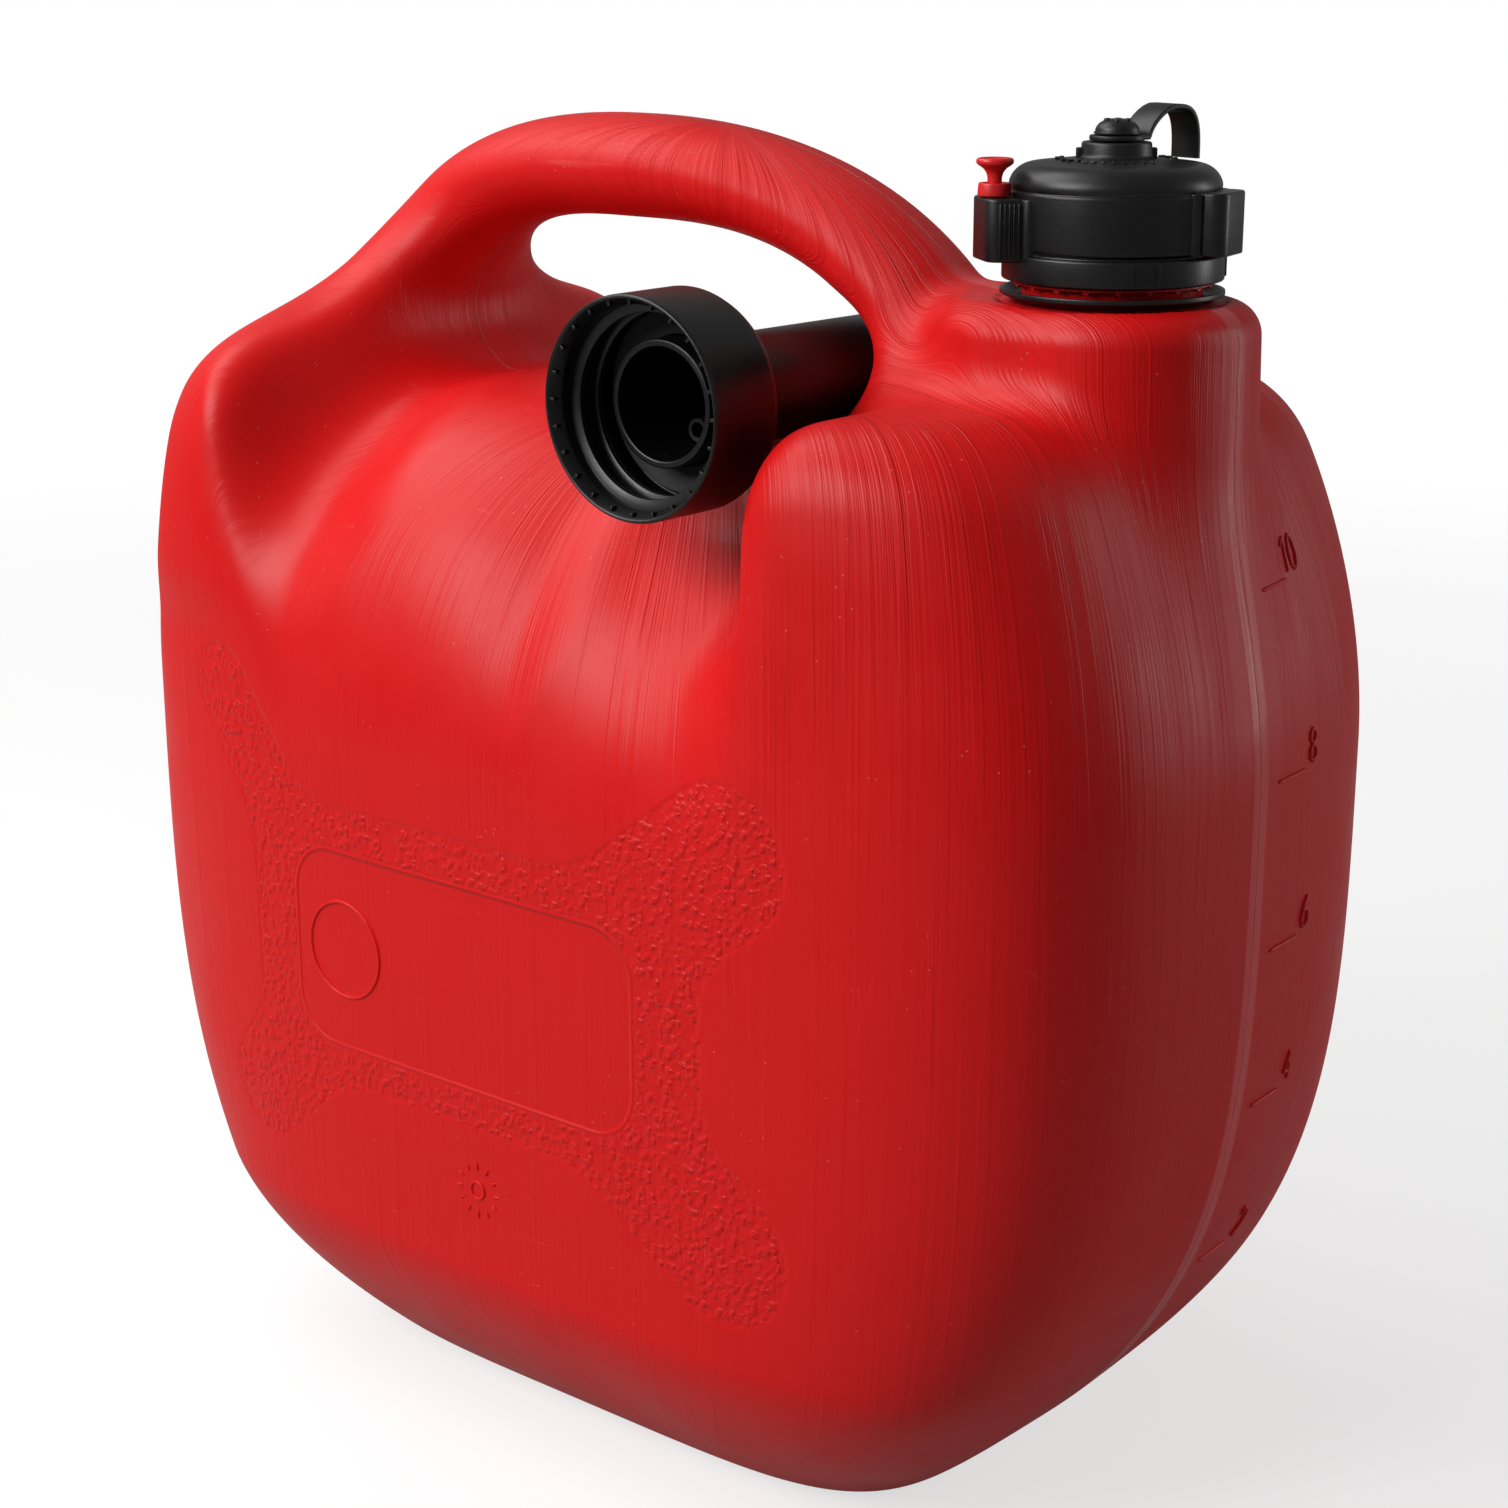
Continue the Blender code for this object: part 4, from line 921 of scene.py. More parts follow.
def use_group(tree, name, build, position, **values):
    made = add(tree, "ShaderNodeGroup", node_tree=group_once(name, build))
    tree.links.new(position, made.inputs["Position"])
    for label, value in values.items():
        made.inputs[label.replace("_", " ")].default_value = value
    return made


def tint(tree, base, towards, share):
    """The base colour drawn towards another by a share that varies over the surface."""
    made = add(tree, "ShaderNodeMix", data_type="RGBA")
    tree.links.new(share, made.inputs["Factor"])
    if isinstance(base, tuple):
        made.inputs[6].default_value = base
    else:
        tree.links.new(base, made.inputs[6])
    made.inputs[7].default_value = towards
    return made.outputs[2]


def bump(tree, height, distance, normal=None):
    made = add(tree, "ShaderNodeBump")
    made.inputs["Strength"].default_value = 1.0
    made.inputs["Distance"].default_value = distance
    tree.links.new(height, made.inputs["Height"])
    if normal is not None:
        tree.links.new(normal, made.inputs["Normal"])
    return made.outputs["Normal"]


def attribute(tree, name):
    return add(tree, "ShaderNodeAttribute", attribute_name=name).outputs["Fac"]


def plastic_sockets(shader, level):
    shader.inputs["Metallic"].default_value = 0.0
    shader.inputs["IOR"].default_value = 1.5
    shader.inputs["Specular IOR Level"].default_value = level


def red_can_plastic():
    """Semi-gloss polyethylene with die streaks, pebbled zones and the mould's flash line."""
    name = "red_can_plastic"
    if name in bpy.data.materials:
        return bpy.data.materials[name]
    can = bpy.context.scene.jerrycan_body
    made, tree, shader, position = new_material(name)
    plastic_sockets(shader, can.gloss_level)
    colour = (*can.colour, 1.0)
    lighter = tuple(min(1.0, 1.16 * c + 0.012) for c in can.colour) + (1.0,)
    darker = tuple(0.80 * c for c in can.colour) + (1.0,)
    grain = use_group(tree, "fine_grain", build_fine_grain, position, Grain_Scale=1500.0)
    marks = use_group(tree, "handling_marks", build_handling_marks, position, Amount=can.scratches)
    dust = use_group(tree, "dust", build_dust, position, Amount=0.25)
    streaks = use_group(tree, "moulding_streaks", build_moulding_streaks, position)
    tree.links.new(attribute(tree, "way"), streaks.inputs["Way"])
    tree.links.new(attribute(tree, "streak"), streaks.inputs["Strength"])
    parts = add(tree, "ShaderNodeSeparateXYZ")
    tree.links.new(position, parts.inputs[0])

    pebbled = attribute(tree, "pebbled")
    panel = attribute(tree, "panel")
    in_grain = between(tree, pebbled, 0.0006, -0.0008)
    in_grain = math_node(tree, "MULTIPLY", in_grain, between(tree, panel, 0.0004, 0.0016))
    warped = noise(tree, position, 260.0, 2.0)
    cells = add(tree, "ShaderNodeTexVoronoi", feature="SMOOTH_F1")
    shifted = add(tree, "ShaderNodeVectorMath", operation="MULTIPLY_ADD")
    tree.links.new(warped, shifted.inputs[0])
    shifted.inputs[1].default_value = (0.0025, 0.0025, 0.0025)
    tree.links.new(position, shifted.inputs[2])
    tree.links.new(shifted.outputs[0], cells.inputs["Vector"])
    cells.inputs["Scale"].default_value = 520.0
    cells.inputs["Smoothness"].default_value = 0.5
    lumps = between(tree, cells.outputs["Distance"], 0.15, 0.75, 1.0, 0.0)
    patchy = between(tree, noise(tree, position, 420.0, 2.0), 0.38, 0.6, 0.2, 1.0)
    lumps = math_node(tree, "MULTIPLY", lumps, patchy)
    lumps = math_node(tree, "MULTIPLY", lumps, in_grain)
    rim = between(tree, math_node(tree, "ABSOLUTE", panel), 0.0, 0.0009, 1.0, 0.0)
    inside = between(tree, panel, -0.0006, 0.0010)
    edge = between(tree, pebbled, -0.0007, 0.0007)
    side = math_node(tree, "ABSOLUTE", parts.outputs[1])
    wander = noise(tree, stretched(tree, position, (90.0, 0.0, 90.0)), 1.0, 3.0)
    flash_edge = between(tree, wander, 0.3, 0.7, 0.7 * can.flash_width, 1.5 * can.flash_width)
    flash = between(tree, side, math_node(tree, "MULTIPLY", flash_edge, 0.35), flash_edge, 1.0, 0.0)
    # The land along the seam at the neck's end, where the seam ridge's highlight is painted into the colour
    # and the roughness is lowered
    painted_highlight_land = between(tree, side, LAND_HALF, LAND_FADE_END, 1.0, 0.0)
    painted_highlight_land = math_node(tree, "MULTIPLY", painted_highlight_land, between(tree, parts.outputs[0], 0.05, 0.10))

    base = tint(tree, colour, darker, between(tree, streaks.outputs["Shade"], 0.25, 0.75, 0.0, 0.5))
    base = tint(tree, base, lighter, math_node(tree, "MULTIPLY", grain.outputs["Gloss Drift"], 0.35))
    # Painted highlight along the seam ridge: the land drawn towards a pale pinkish red
    base = tint(tree, base, LAND_HIGHLIGHT_RED, math_node(tree, "MULTIPLY", painted_highlight_land, 0.42))
    base = tint(tree, base, FLASH_RED, math_node(tree, "MULTIPLY", flash, 0.45))
    base = tint(tree, base, SCRATCH_RED, math_node(tree, "MULTIPLY", marks.outputs["Scratches"], 0.35))
    base = tint(tree, base, DUST_PINK, dust.outputs["Specks"])
    tree.links.new(base, shader.inputs["Base Color"])

    rough = between(tree, grain.outputs["Gloss Drift"], 0.3, 0.7, can.roughness - 0.04, can.roughness + 0.05)
    rough = math_node(tree, "ADD", rough, math_node(tree, "MULTIPLY", lumps, 0.06))
    rough = math_node(tree, "ADD", rough, math_node(tree, "MULTIPLY", marks.outputs["Rubbed"], 0.05))
    rough = math_node(tree, "SUBTRACT", rough, math_node(tree, "MULTIPLY", painted_highlight_land, 0.14))
    tree.links.new(rough, shader.inputs["Roughness"])

    normal = bump(tree, edge, PEBBLE_EDGE_HEIGHT)
    normal = bump(tree, inside, PANEL_STEP_HEIGHT, normal)
    normal = bump(tree, rim, PANEL_RIM_HEIGHT, normal)
    normal = bump(tree, lumps, can.pebble_height, normal)
    normal = bump(tree, flash, FLASH_HEIGHT, normal)
    normal = bump(tree, streaks.outputs["Height"], can.streak_depth, normal)
    normal = bump(tree, grain.outputs["Height"], CAN_GRAIN_HEIGHT, normal)
    tree.links.new(normal, shader.inputs["Normal"])
    return made


def plain_plastic(name, colour, roughness, level, scratches, grain_height, grain_scale=1800.0):
    """Injection-moulded plastic: a fine mould texture, rubbed patches, scratches and a little dust."""
    if name in bpy.data.materials:
        return bpy.data.materials[name]
    made, tree, shader, position = new_material(name)
    plastic_sockets(shader, level)
    grain = use_group(tree, "fine_grain", build_fine_grain, position, Grain_Scale=grain_scale)
    marks = use_group(tree, "handling_marks", build_handling_marks, position, Amount=scratches)
    dust = use_group(tree, "dust", build_dust, position, Amount=0.4)
    pale = tuple(0.75 * c + 0.07 for c in colour) + (1.0,)
    base = tint(tree, (*colour, 1.0), pale, math_node(tree, "MULTIPLY", marks.outputs["Rubbed"], 0.25))
    base = tint(tree, base, pale, math_node(tree, "MULTIPLY", marks.outputs["Scratches"], 0.9))
    base = tint(tree, base, tuple(0.6 * c + 0.16 for c in colour) + (1.0,), dust.outputs["Specks"])
    tree.links.new(base, shader.inputs["Base Color"])
    rough = between(tree, grain.outputs["Gloss Drift"], 0.3, 0.7, roughness - 0.04, roughness + 0.06)
    rough = math_node(tree, "ADD", rough, math_node(tree, "MULTIPLY", marks.outputs["Rubbed"], 0.08))
    tree.links.new(rough, shader.inputs["Roughness"])
    normal = bump(tree, grain.outputs["Height"], grain_height)
    normal = bump(tree, marks.outputs["Scratches"], SCRATCH_HEIGHT, normal)
    tree.links.new(normal, shader.inputs["Normal"])
    return made


def black_plastic(name, roughness=0.36):
    fittings = bpy.context.scene.jerrycan_fittings
    return plain_plastic(name, tuple(fittings.black), roughness, 0.42, 0.6, 0.00003)


def red_pin_plastic():
    fittings = bpy.context.scene.jerrycan_fittings
    return plain_plastic("red_pin_plastic", tuple(fittings.pin_red), 0.34, 0.5, 0.35, 0.00001)


def seal_rubber():
    return plain_plastic("seal_rubber", SEAL_GREY, 0.72, 0.35, 0.3, 0.00004, 2600.0)


# ---------------------------------------------------------------- settings


class JerrycanBody(bpy.types.PropertyGroup):
    """Sizes and finish of the can itself."""

    net_step: bpy.props.FloatProperty(
        name="Net step", description="Spacing of the first net over the skin", default=0.0025, min=0.001,
        max=0.01, unit="LENGTH", precision=4)
    mark_height: bpy.props.FloatProperty(
        name="Mark height", description="How far the scale marks stand out", default=0.00060, min=0.0001,
        max=0.001, unit="LENGTH", precision=5)
    mark_width: bpy.props.FloatProperty(
        name="Mark width", description="Width of the raised scale lines", default=0.0010, min=0.0003,
        max=0.003, unit="LENGTH", precision=4)
    flash_width: bpy.props.FloatProperty(
        name="Flash line", description="Half width of the line where the mould halves meet", default=0.00035,
        min=0.0001, max=0.002, unit="LENGTH", precision=5)
    streak_depth: bpy.props.FloatProperty(
        name="Streak depth", description="Depth of the lines the die leaves", default=0.00017, min=0.0,
        max=0.0005, unit="LENGTH", precision=6)
    pebble_height: bpy.props.FloatProperty(
        name="Pebble height", description="Height of the pebbled zone's lumps", default=0.00040, min=0.0,
        max=0.001, unit="LENGTH", precision=6)
    roughness: bpy.props.FloatProperty(
        name="Roughness", description="Roughness of the red surface", default=0.40, min=0.05, max=1.0,
        subtype="FACTOR")
    gloss_level: bpy.props.FloatProperty(
        name="Gloss level", description="Strength of the surface's mirror part", default=0.24, min=0.0,
        max=1.0, subtype="FACTOR")
    scratches: bpy.props.FloatProperty(
        name="Scratches", description="Amount of fine scratches", default=0.35, min=0.0, max=1.0,
        subtype="FACTOR")
    colour: bpy.props.FloatVectorProperty(
        name="Red", description="Colour of the can", default=(0.64, 0.0030, 0.0036), min=0.0, max=1.0, size=3,
        subtype="COLOR")


class JerrycanFittings(bpy.types.PropertyGroup):
    """Sizes and finish of the cap, plug, pin and spout."""

    sides: bpy.props.IntProperty(
        name="Sides", description="Sides of the round pieces", default=128, min=24, max=360)
    edge: bpy.props.FloatProperty(
        name="Edge", description="Rounding of the moulded edges", default=0.0005, min=0.0001, max=0.002,
        unit="LENGTH", precision=5)
    rib_count: bpy.props.IntProperty(
        name="Ribs", description="Grip ribs on the latch lug", default=8, min=0, max=12)
    spout_thread_depth: bpy.props.FloatProperty(
        name="Spout thread", description="Depth of the thread inside the spout's collar", default=0.0021,
        min=0.0005, max=0.003, unit="LENGTH", precision=4)
    black: bpy.props.FloatVectorProperty(
        name="Black", description="Colour of the black fittings", default=(0.0030, 0.0030, 0.0030), min=0.0,
        max=1.0, size=3, subtype="COLOR")
    pin_red: bpy.props.FloatVectorProperty(
        name="Pin red", description="Colour of the locking pin and its collar", default=(0.66, 0.010, 0.012),
        min=0.0, max=1.0, size=3, subtype="COLOR")


class JerrycanStage(bpy.types.PropertyGroup):
    """The floor, the lamps and the camera."""

    floor_colour: bpy.props.FloatVectorProperty(
        name="Floor", description="Colour of the floor", default=(0.34, 0.34, 0.34), min=0.0, max=1.0, size=3,
        subtype="COLOR")
    room_light: bpy.props.FloatProperty(
        name="Room light", description="Level of the even light from all round", default=0.12, min=0.0,
        max=2.0)
    top_light: bpy.props.FloatProperty(
        name="Top lamp", description="Power of the lamp above", default=9.5, min=0.0, unit="POWER")
    front_light: bpy.props.FloatProperty(
        name="Front lamp", description="Power of the lamp in front", default=22.0, min=0.0, unit="POWER")
    side_light: bpy.props.FloatProperty(
        name="Side lamp", description="Power of the lamp behind the neck's end", default=6.0, min=0.0,
        unit="POWER")
    focal_length: bpy.props.FloatProperty(
        name="Focal length", description="The camera's lens", default=68.04, min=10.0, max=300.0,
        unit="CAMERA")


# ---------------------------------------------------------------- pieces


def store_marks(mesh, points):
    """Keeps on each point its place round the can, its share of streaks and its distance to the zones."""
    x, y, z = points.T
    side = np.abs(y)
    turn = np.arctan2(side / (0.5 * DEPTH), x / (0.5 * LENGTH))
    way = 0.5 * LENGTH * turn
    lobe = ease((z - 0.16) / 0.07) * ease((x + 0.02) / 0.06)
    near_block = ease(1.0 - np.abs(x - 0.085) / 0.05) * ease((z - 0.19) / 0.05)
    streak = 0.52 + 0.34 * lobe + 0.75 * near_block
    streak = streak * np.where(x > 0.13, 0.75, 1.0)
    values = {"way": way, "streak": np.clip(streak, 0.0, 1.3), "pebbled": grain_distance(x, z),
              "panel": panel_distance(x, z)}
    for name, numbers in values.items():
        layer = mesh.attributes.new(name, "FLOAT", "POINT")
        layer.data.foreach_set("value", numbers.astype(np.float32))


def leave_bare(mesh):
    """Keeps the pebbled zone and the panel off a mesh."""
    for name in ("pebbled", "panel"):
        far = np.full(len(mesh.vertices), OUTSIDE_ZONES, np.float32)
        mesh.attributes[name].data.foreach_set("value", far)


def open_mouth(points, quads):
    """Leaves out the quads inside the neck, where the bore runs through."""
    middle = points[quads].mean(axis=1)
    away = np.hypot(middle[:, 0] - NECK_X, middle[:, 1])
    keep = (away > NECK_RADIUS - 0.5 * NECK_WALL) | (middle[:, 2] < BLOCK_TOP - 4.0 * WALL)
    return quads[keep]


class JERRYCAN_OT_body(bpy.types.Operator):
    """Builds the can's outer and inner skin"""

    bl_idname = "jerrycan.body"
    bl_label = "Can body"

    def execute(self, context):
        step = context.scene.jerrycan_body.net_step
        points, quads = skin_net(step, 0.0)
        for _ in range(2):
            points = settle(even_out(points, quads, 0.5), 0.0, step, 2)
        points, quads = split_quads(points, quads)
        points = settle(even_out(points, quads, 0.5), 0.0, step, 4)
        kept = open_mouth(points, quads)
        body = piece("can_body", points, kept, red_can_plastic(), "can")
        store_marks(body.data, points)
        body.data.shade_smooth()
        slope = skin_slope(points, 0.0004)
        slope = slope / np.maximum(np.linalg.norm(slope, axis=1), 1e-9)[:, None]
        body.data.normals_split_custom_set_from_vertices([tuple(n) for n in slope])
        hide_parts("tank_body")
        points, quads = skin_net(0.004, WALL)
        kept = open_mouth(points, quads)[:, ::-1]
        lining = piece("can_lining", points, kept, red_can_plastic(), "can")
        store_marks(lining.data, points)
        leave_bare(lining.data)
        lining.data.shade_smooth()
        return {"FINISHED"}


def tooth_part():
    """One ratchet tooth that hangs from the neck's flange and narrows to its tip."""
    points = []
    near = NECK_RADIUS - TOOTH_ROOT
    far = NECK_RADIUS + TOOTH_REACH - GAP
    for level, share in ((TOOTH_BASE, TOOTH_TIP_SHARE), (TOOTH_BASE + TOOTH_HEIGHT + GAP, 1.0)):
        half = 0.5 * share * TOOTH_WIDTH
        points += [(near, -half, level), (far, -half, level), (far, half, level), (near, half, level)]
    faces = [(3, 2, 1, 0), (4, 5, 6, 7), (0, 1, 5, 4), (1, 2, 6, 5), (2, 3, 7, 6), (3, 0, 4, 7)]
    return points, faces


class JERRYCAN_OT_neck(bpy.types.Operator):
    """Builds the filler neck with its thread and ratchet teeth"""

    bl_idname = "jerrycan.neck"
    bl_label = "Filler neck"

    def execute(self, context):
        sides = context.scene.jerrycan_fittings.sides
        bore = NECK_RADIUS - NECK_WALL
        low = -WALL - NECK_SINK
        flange = TOOTH_BASE + TOOTH_HEIGHT
        reach = NECK_RADIUS + TOOTH_REACH
        outline = softened([(bore, low), (NECK_RADIUS, low), (NECK_RADIUS, flange), (reach, flange),
                            (reach, flange + TOOTH_FLANGE), (NECK_RADIUS, flange + TOOTH_FLANGE),
                            (NECK_RADIUS, NECK_HEIGHT), (bore, NECK_HEIGHT)], NECK_EDGE, 2)
        parts = [turned(outline, sides)]
        parts.append(thread(NECK_RADIUS, 1, THREAD_START, THREAD_TURNS, THREAD_DEPTH, THREAD_ROOT_WIDTH,
                            THREAD_CREST_WIDTH))
        for number in range(TOOTH_COUNT):
            parts.append(moved(tooth_part(), Matrix.Rotation(2.0 * math.pi * number / TOOTH_COUNT, 4, "Z")))
        points, faces = moved(combine(parts), Matrix.Translation((NECK_X, 0.0, BLOCK_TOP)))
        neck = piece("filler_neck", points, faces, red_can_plastic(), "can")
        store_marks(neck.data, np.array(points))
        shade(neck)
        return {"FINISHED"}


class JERRYCAN_OT_scale_marks(bpy.types.Operator):
    """Builds the raised level lines with their plain numbers on the neck's end"""

    bl_idname = "jerrycan.scale_marks"
    bl_label = "Level scale"

    def execute(self, context):
        can = context.scene.jerrycan_body
        parts = []
        for text, level in LEVELS:
            line = fine_path([(y, level) for y in LEVEL_LINE], LEVEL_STEP)
            parts.append(skin_stroke(line, can.mark_width, can.mark_height, "end"))
            for place, character in enumerate(text):
                left = NUMBER_START[len(text)] + place * DIGIT_SPACING_SHARE * DIGIT_WIDTH
                for points in DIGITS[character]:
                    path = [(left + a * DIGIT_WIDTH, level + DIGIT_LIFT + b * DIGIT_HEIGHT)
                            for a, b in points]
                    path = fine_path(path, DIGIT_STEP)
                    parts.append(skin_stroke(path, 0.9 * can.mark_width, can.mark_height, "end"))
        points, faces = combine(parts)
        marks = piece("level_scale", points, faces, red_can_plastic(), "can")
        store_marks(marks.data, np.array(points))
        shade(marks, 60.0)
        return {"FINISHED"}


class JERRYCAN_OT_panel_marks(bpy.types.Operator):
    """Builds the plain ring in the panel and the ring of ticks below it"""

    bl_idname = "jerrycan.panel_marks"
    bl_label = "Panel marks"

    def execute(self, context):
        can = context.scene.jerrycan_body
        turns = [2.0 * math.pi * n / 72 for n in range(72)]
        ring = [(DIAL_MIDDLE[0] + DIAL_RADIUS * math.cos(a), DIAL_MIDDLE[1] + DIAL_RADIUS * math.sin(a))
                for a in turns]
        parts = [skin_stroke(ring, DIAL_LINE, 0.8 * can.mark_height, "front", True)]
        hub = [(CLOCK_MIDDLE[0] + CLOCK_HUB * math.cos(a), CLOCK_MIDDLE[1] + CLOCK_HUB * math.sin(a))
               for a in turns[::3]]
        parts.append(skin_stroke(hub, CLOCK_HUB_LINE, 0.7 * can.mark_height, "front", True))
        for number in range(CLOCK_TICKS):
            angle = 2.0 * math.pi * number / CLOCK_TICKS
            path = [(CLOCK_MIDDLE[0] + r * math.cos(angle), CLOCK_MIDDLE[1] + r * math.sin(angle))
                    for r in CLOCK_TICK_RADII]
            parts.append(skin_stroke(path, CLOCK_TICK_LINE, 0.7 * can.mark_height, "front"))
        points, faces = combine(parts)
        marks = piece("panel_marks", points, faces, red_can_plastic(), "can")
        store_marks(marks.data, np.array(points))
        leave_bare(marks.data)
        shade(marks, 60.0)
        return {"FINISHED"}


class JERRYCAN_OT_neck_ring(bpy.types.Operator):
    """Builds the loose black ring under the cap"""

    bl_idname = "jerrycan.neck_ring"
    bl_label = "Neck ring"

    def execute(self, context):
        inner = NECK_RADIUS + GAP
        lip = RING_RADIUS - RING_LIP
        outline = softened([(inner, GAP), (RING_HUB, GAP), (lip, RING_LIFT), (RING_RADIUS, RING_LIFT),
                            (RING_RADIUS, RING_LIFT + RING_RIM), (lip, RING_LIFT + RING_RIM),
                            (RING_HUB, GAP + RING_THICKNESS), (inner, GAP + RING_THICKNESS)], 0.0003)
        part = turned(outline, context.scene.jerrycan_fittings.sides)
        points, faces = moved(part, Matrix.Translation((NECK_X, 0.0, BLOCK_TOP)))
        finish = black_plastic("black_ring_plastic")
        ring = piece("neck_ring_disc", points, faces, finish, "can")
        shade(ring)
        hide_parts("neck_ring")
        return {"FINISHED"}


def cap_shell_part(sides, edge):
    bore = NECK_RADIUS + THREAD_DEPTH + GAP
    skirt_bore = NECK_RADIUS + TOOTH_REACH + GAP
    skirt_top = CAP_BASE + CAP_SKIRT_HEIGHT
    bead = CAP_TOP - CAP_CROWN - CAP_SHOULDER
    outline = [(skirt_bore, CAP_BASE), (CAP_SKIRT_RADIUS, CAP_BASE), (CAP_SKIRT_RADIUS, skirt_top),
               (CAP_RADIUS - CAP_GROOVE, skirt_top), (CAP_RADIUS - CAP_GROOVE, skirt_top + CAP_GROOVE),
               (CAP_RADIUS, skirt_top + 1.8 * CAP_GROOVE), (CAP_RADIUS, bead - 0.0004),
               (CAP_RADIUS - 0.0005, bead - 0.0001), (CAP_RADIUS - 0.0002, bead + 0.0005)]
    centre = CAP_RADIUS - CAP_SHOULDER
    for step in range(1, 9):
        angle = 0.5 * math.pi * (0.06 + 0.94 * step / 8)
        outline.append((centre + CAP_SHOULDER * math.cos(angle), bead + CAP_SHOULDER * math.sin(angle)))
    outline += [(BOSS_RADIUS + 0.0006, CAP_TOP), (BOSS_RADIUS, CAP_TOP + 0.0005),
                (BOSS_RADIUS - 0.0002, CAP_TOP + BOSS_HEIGHT), (VENT_BORE, CAP_TOP + BOSS_HEIGHT),
                (VENT_BORE, CEILING), (bore, CEILING), (bore, skirt_top), (skirt_bore, skirt_top - 0.0013)]
    return turned(softened(outline, edge), sides)


def rectangle(near, far, half):
    return [(near, -half), (far, -half), (far, half), (near, half)]


def lug_part(reach, base, edge):
    """A grip lug that points along X, with hollow fillets where it leaves the cap."""
    half = 0.5 * LUG_WIDTH
    foot = math.sqrt(CAP_RADIUS**2 - half**2)
    low = -half - LUG_FILLET
    plan = [(foot - LUG_ROOT, low), (foot - LUG_LEDGE, low)]
    for step in range(1, 6):
        angle = 0.5 * math.pi * step / 5
        plan.append((foot - LUG_LEDGE + LUG_FILLET * math.sin(angle), -half - LUG_FILLET * math.cos(angle)))
    for step in range(7):
        angle = 0.5 * math.pi * (step / 6 - 1.0)
        plan.append((reach - LUG_CORNER + LUG_CORNER * math.cos(angle),
                     -half + LUG_CORNER + LUG_CORNER * math.sin(angle)))
    mirrored = [(x, -y) for x, y in plan[::-1]]
    return slab(plan + mirrored, base, base + LUG_HEIGHT, edge)


def rib_parts(count):
    """Upright half-round ribs on the latch lug's near face."""
    half = 0.5 * LUG_WIDTH
    first = LATCH_REACH - RIB_END - RIB_PITCH * count
    parts = []
    for number in range(count):
        x = first + number * RIB_PITCH
        arc = [(x + RIB_HALF * math.cos(a), half - RIB_SINK + RIB_HEIGHT * math.sin(a))
               for a in [math.pi * n / 8 for n in range(9)]]
        plan = [(x - RIB_HALF, half - RIB_ROOT), (x + RIB_HALF, half - RIB_ROOT)] + arc
        low = LATCH_BASE + RIB_MARGIN
        high = LATCH_BASE + LUG_HEIGHT - RIB_MARGIN
        parts.append(slab(plan, low, high, 0.0003, 2))
    return parts


def crown_bars():
    """Two arcs of plain raised bars on the cap's top."""
    parts = []
    for first in (200.0, 20.0):
        for number in range(BAR_COUNT):
            angle = math.radians(first + 10.0 * number)
            end = BAR_RADIUS + (BAR_LONG if number % 3 else BAR_SHORT)
            plan = softened(rectangle(BAR_RADIUS, end, BAR_HALF), 0.0002, 2)
            bar = slab(plan, CAP_TOP - CAP_CROWN, CAP_TOP, 0.00015, 2)
            parts.append(moved(bar, Matrix.Rotation(angle, 4, "Z")))
    return parts


class JERRYCAN_OT_cap(bpy.types.Operator):
    """Builds the screw cap with its skirt, lugs, ribs, boss and inner thread"""

    bl_idname = "jerrycan.cap"
    bl_label = "Screw cap"

    def execute(self, context):
        fittings = context.scene.jerrycan_fittings
        parts = [cap_shell_part(fittings.sides, fittings.edge)]
        for angle in LUG_ANGLES:
            parts.append(moved(lug_part(LUG_REACH, LUG_BASE, fittings.edge), Matrix.Rotation(angle, 4, "Z")))
        turn = Matrix.Rotation(LATCH_ANGLE, 4, "Z")
        parts.append(moved(lug_part(LATCH_REACH, LATCH_BASE, fittings.edge), turn))
        parts += [moved(rib, turn) for rib in rib_parts(fittings.rib_count)]
        parts += crown_bars()
        bore = NECK_RADIUS + THREAD_DEPTH + GAP
        parts.append(thread(bore, -1, THREAD_START - 0.5 * THREAD_PITCH, THREAD_TURNS, THREAD_DEPTH,
                            THREAD_ROOT_WIDTH, THREAD_CREST_WIDTH))
        for angle in STOP_ANGLES:
            plan = rectangle(CAP_RADIUS - STOP_HALF, CAP_SKIRT_RADIUS + STOP_REACH, STOP_HALF)
            low = CAP_BASE + STOP_LIFT
            stop = slab(softened(plan, 0.0002, 2), low, CAP_BASE + CAP_SKIRT_HEIGHT, 0.0002, 2)
            parts.append(moved(stop, Matrix.Rotation(math.radians(angle), 4, "Z")))
        for angle in EAR_ANGLES:
            plan = rectangle(BOSS_RADIUS - EAR_ROOT, BOSS_RADIUS + EAR_REACH, EAR_HALF)
            high = CAP_TOP + EAR_HEIGHT_SHARE * BOSS_HEIGHT
            ear = slab(softened(plan, 0.0003, 2), CAP_TOP - EAR_ROOT, high, 0.0003, 2)
            parts.append(moved(ear, Matrix.Rotation(math.radians(angle), 4, "Z")))
        points, faces = moved(combine(parts), Matrix.Translation((NECK_X, 0.0, BLOCK_TOP)))
        cap = piece("screw_cap", points, faces, black_plastic("black_cap_plastic"), "cap")
        shade(cap)
        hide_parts("cap_shell")
        return {"FINISHED"}


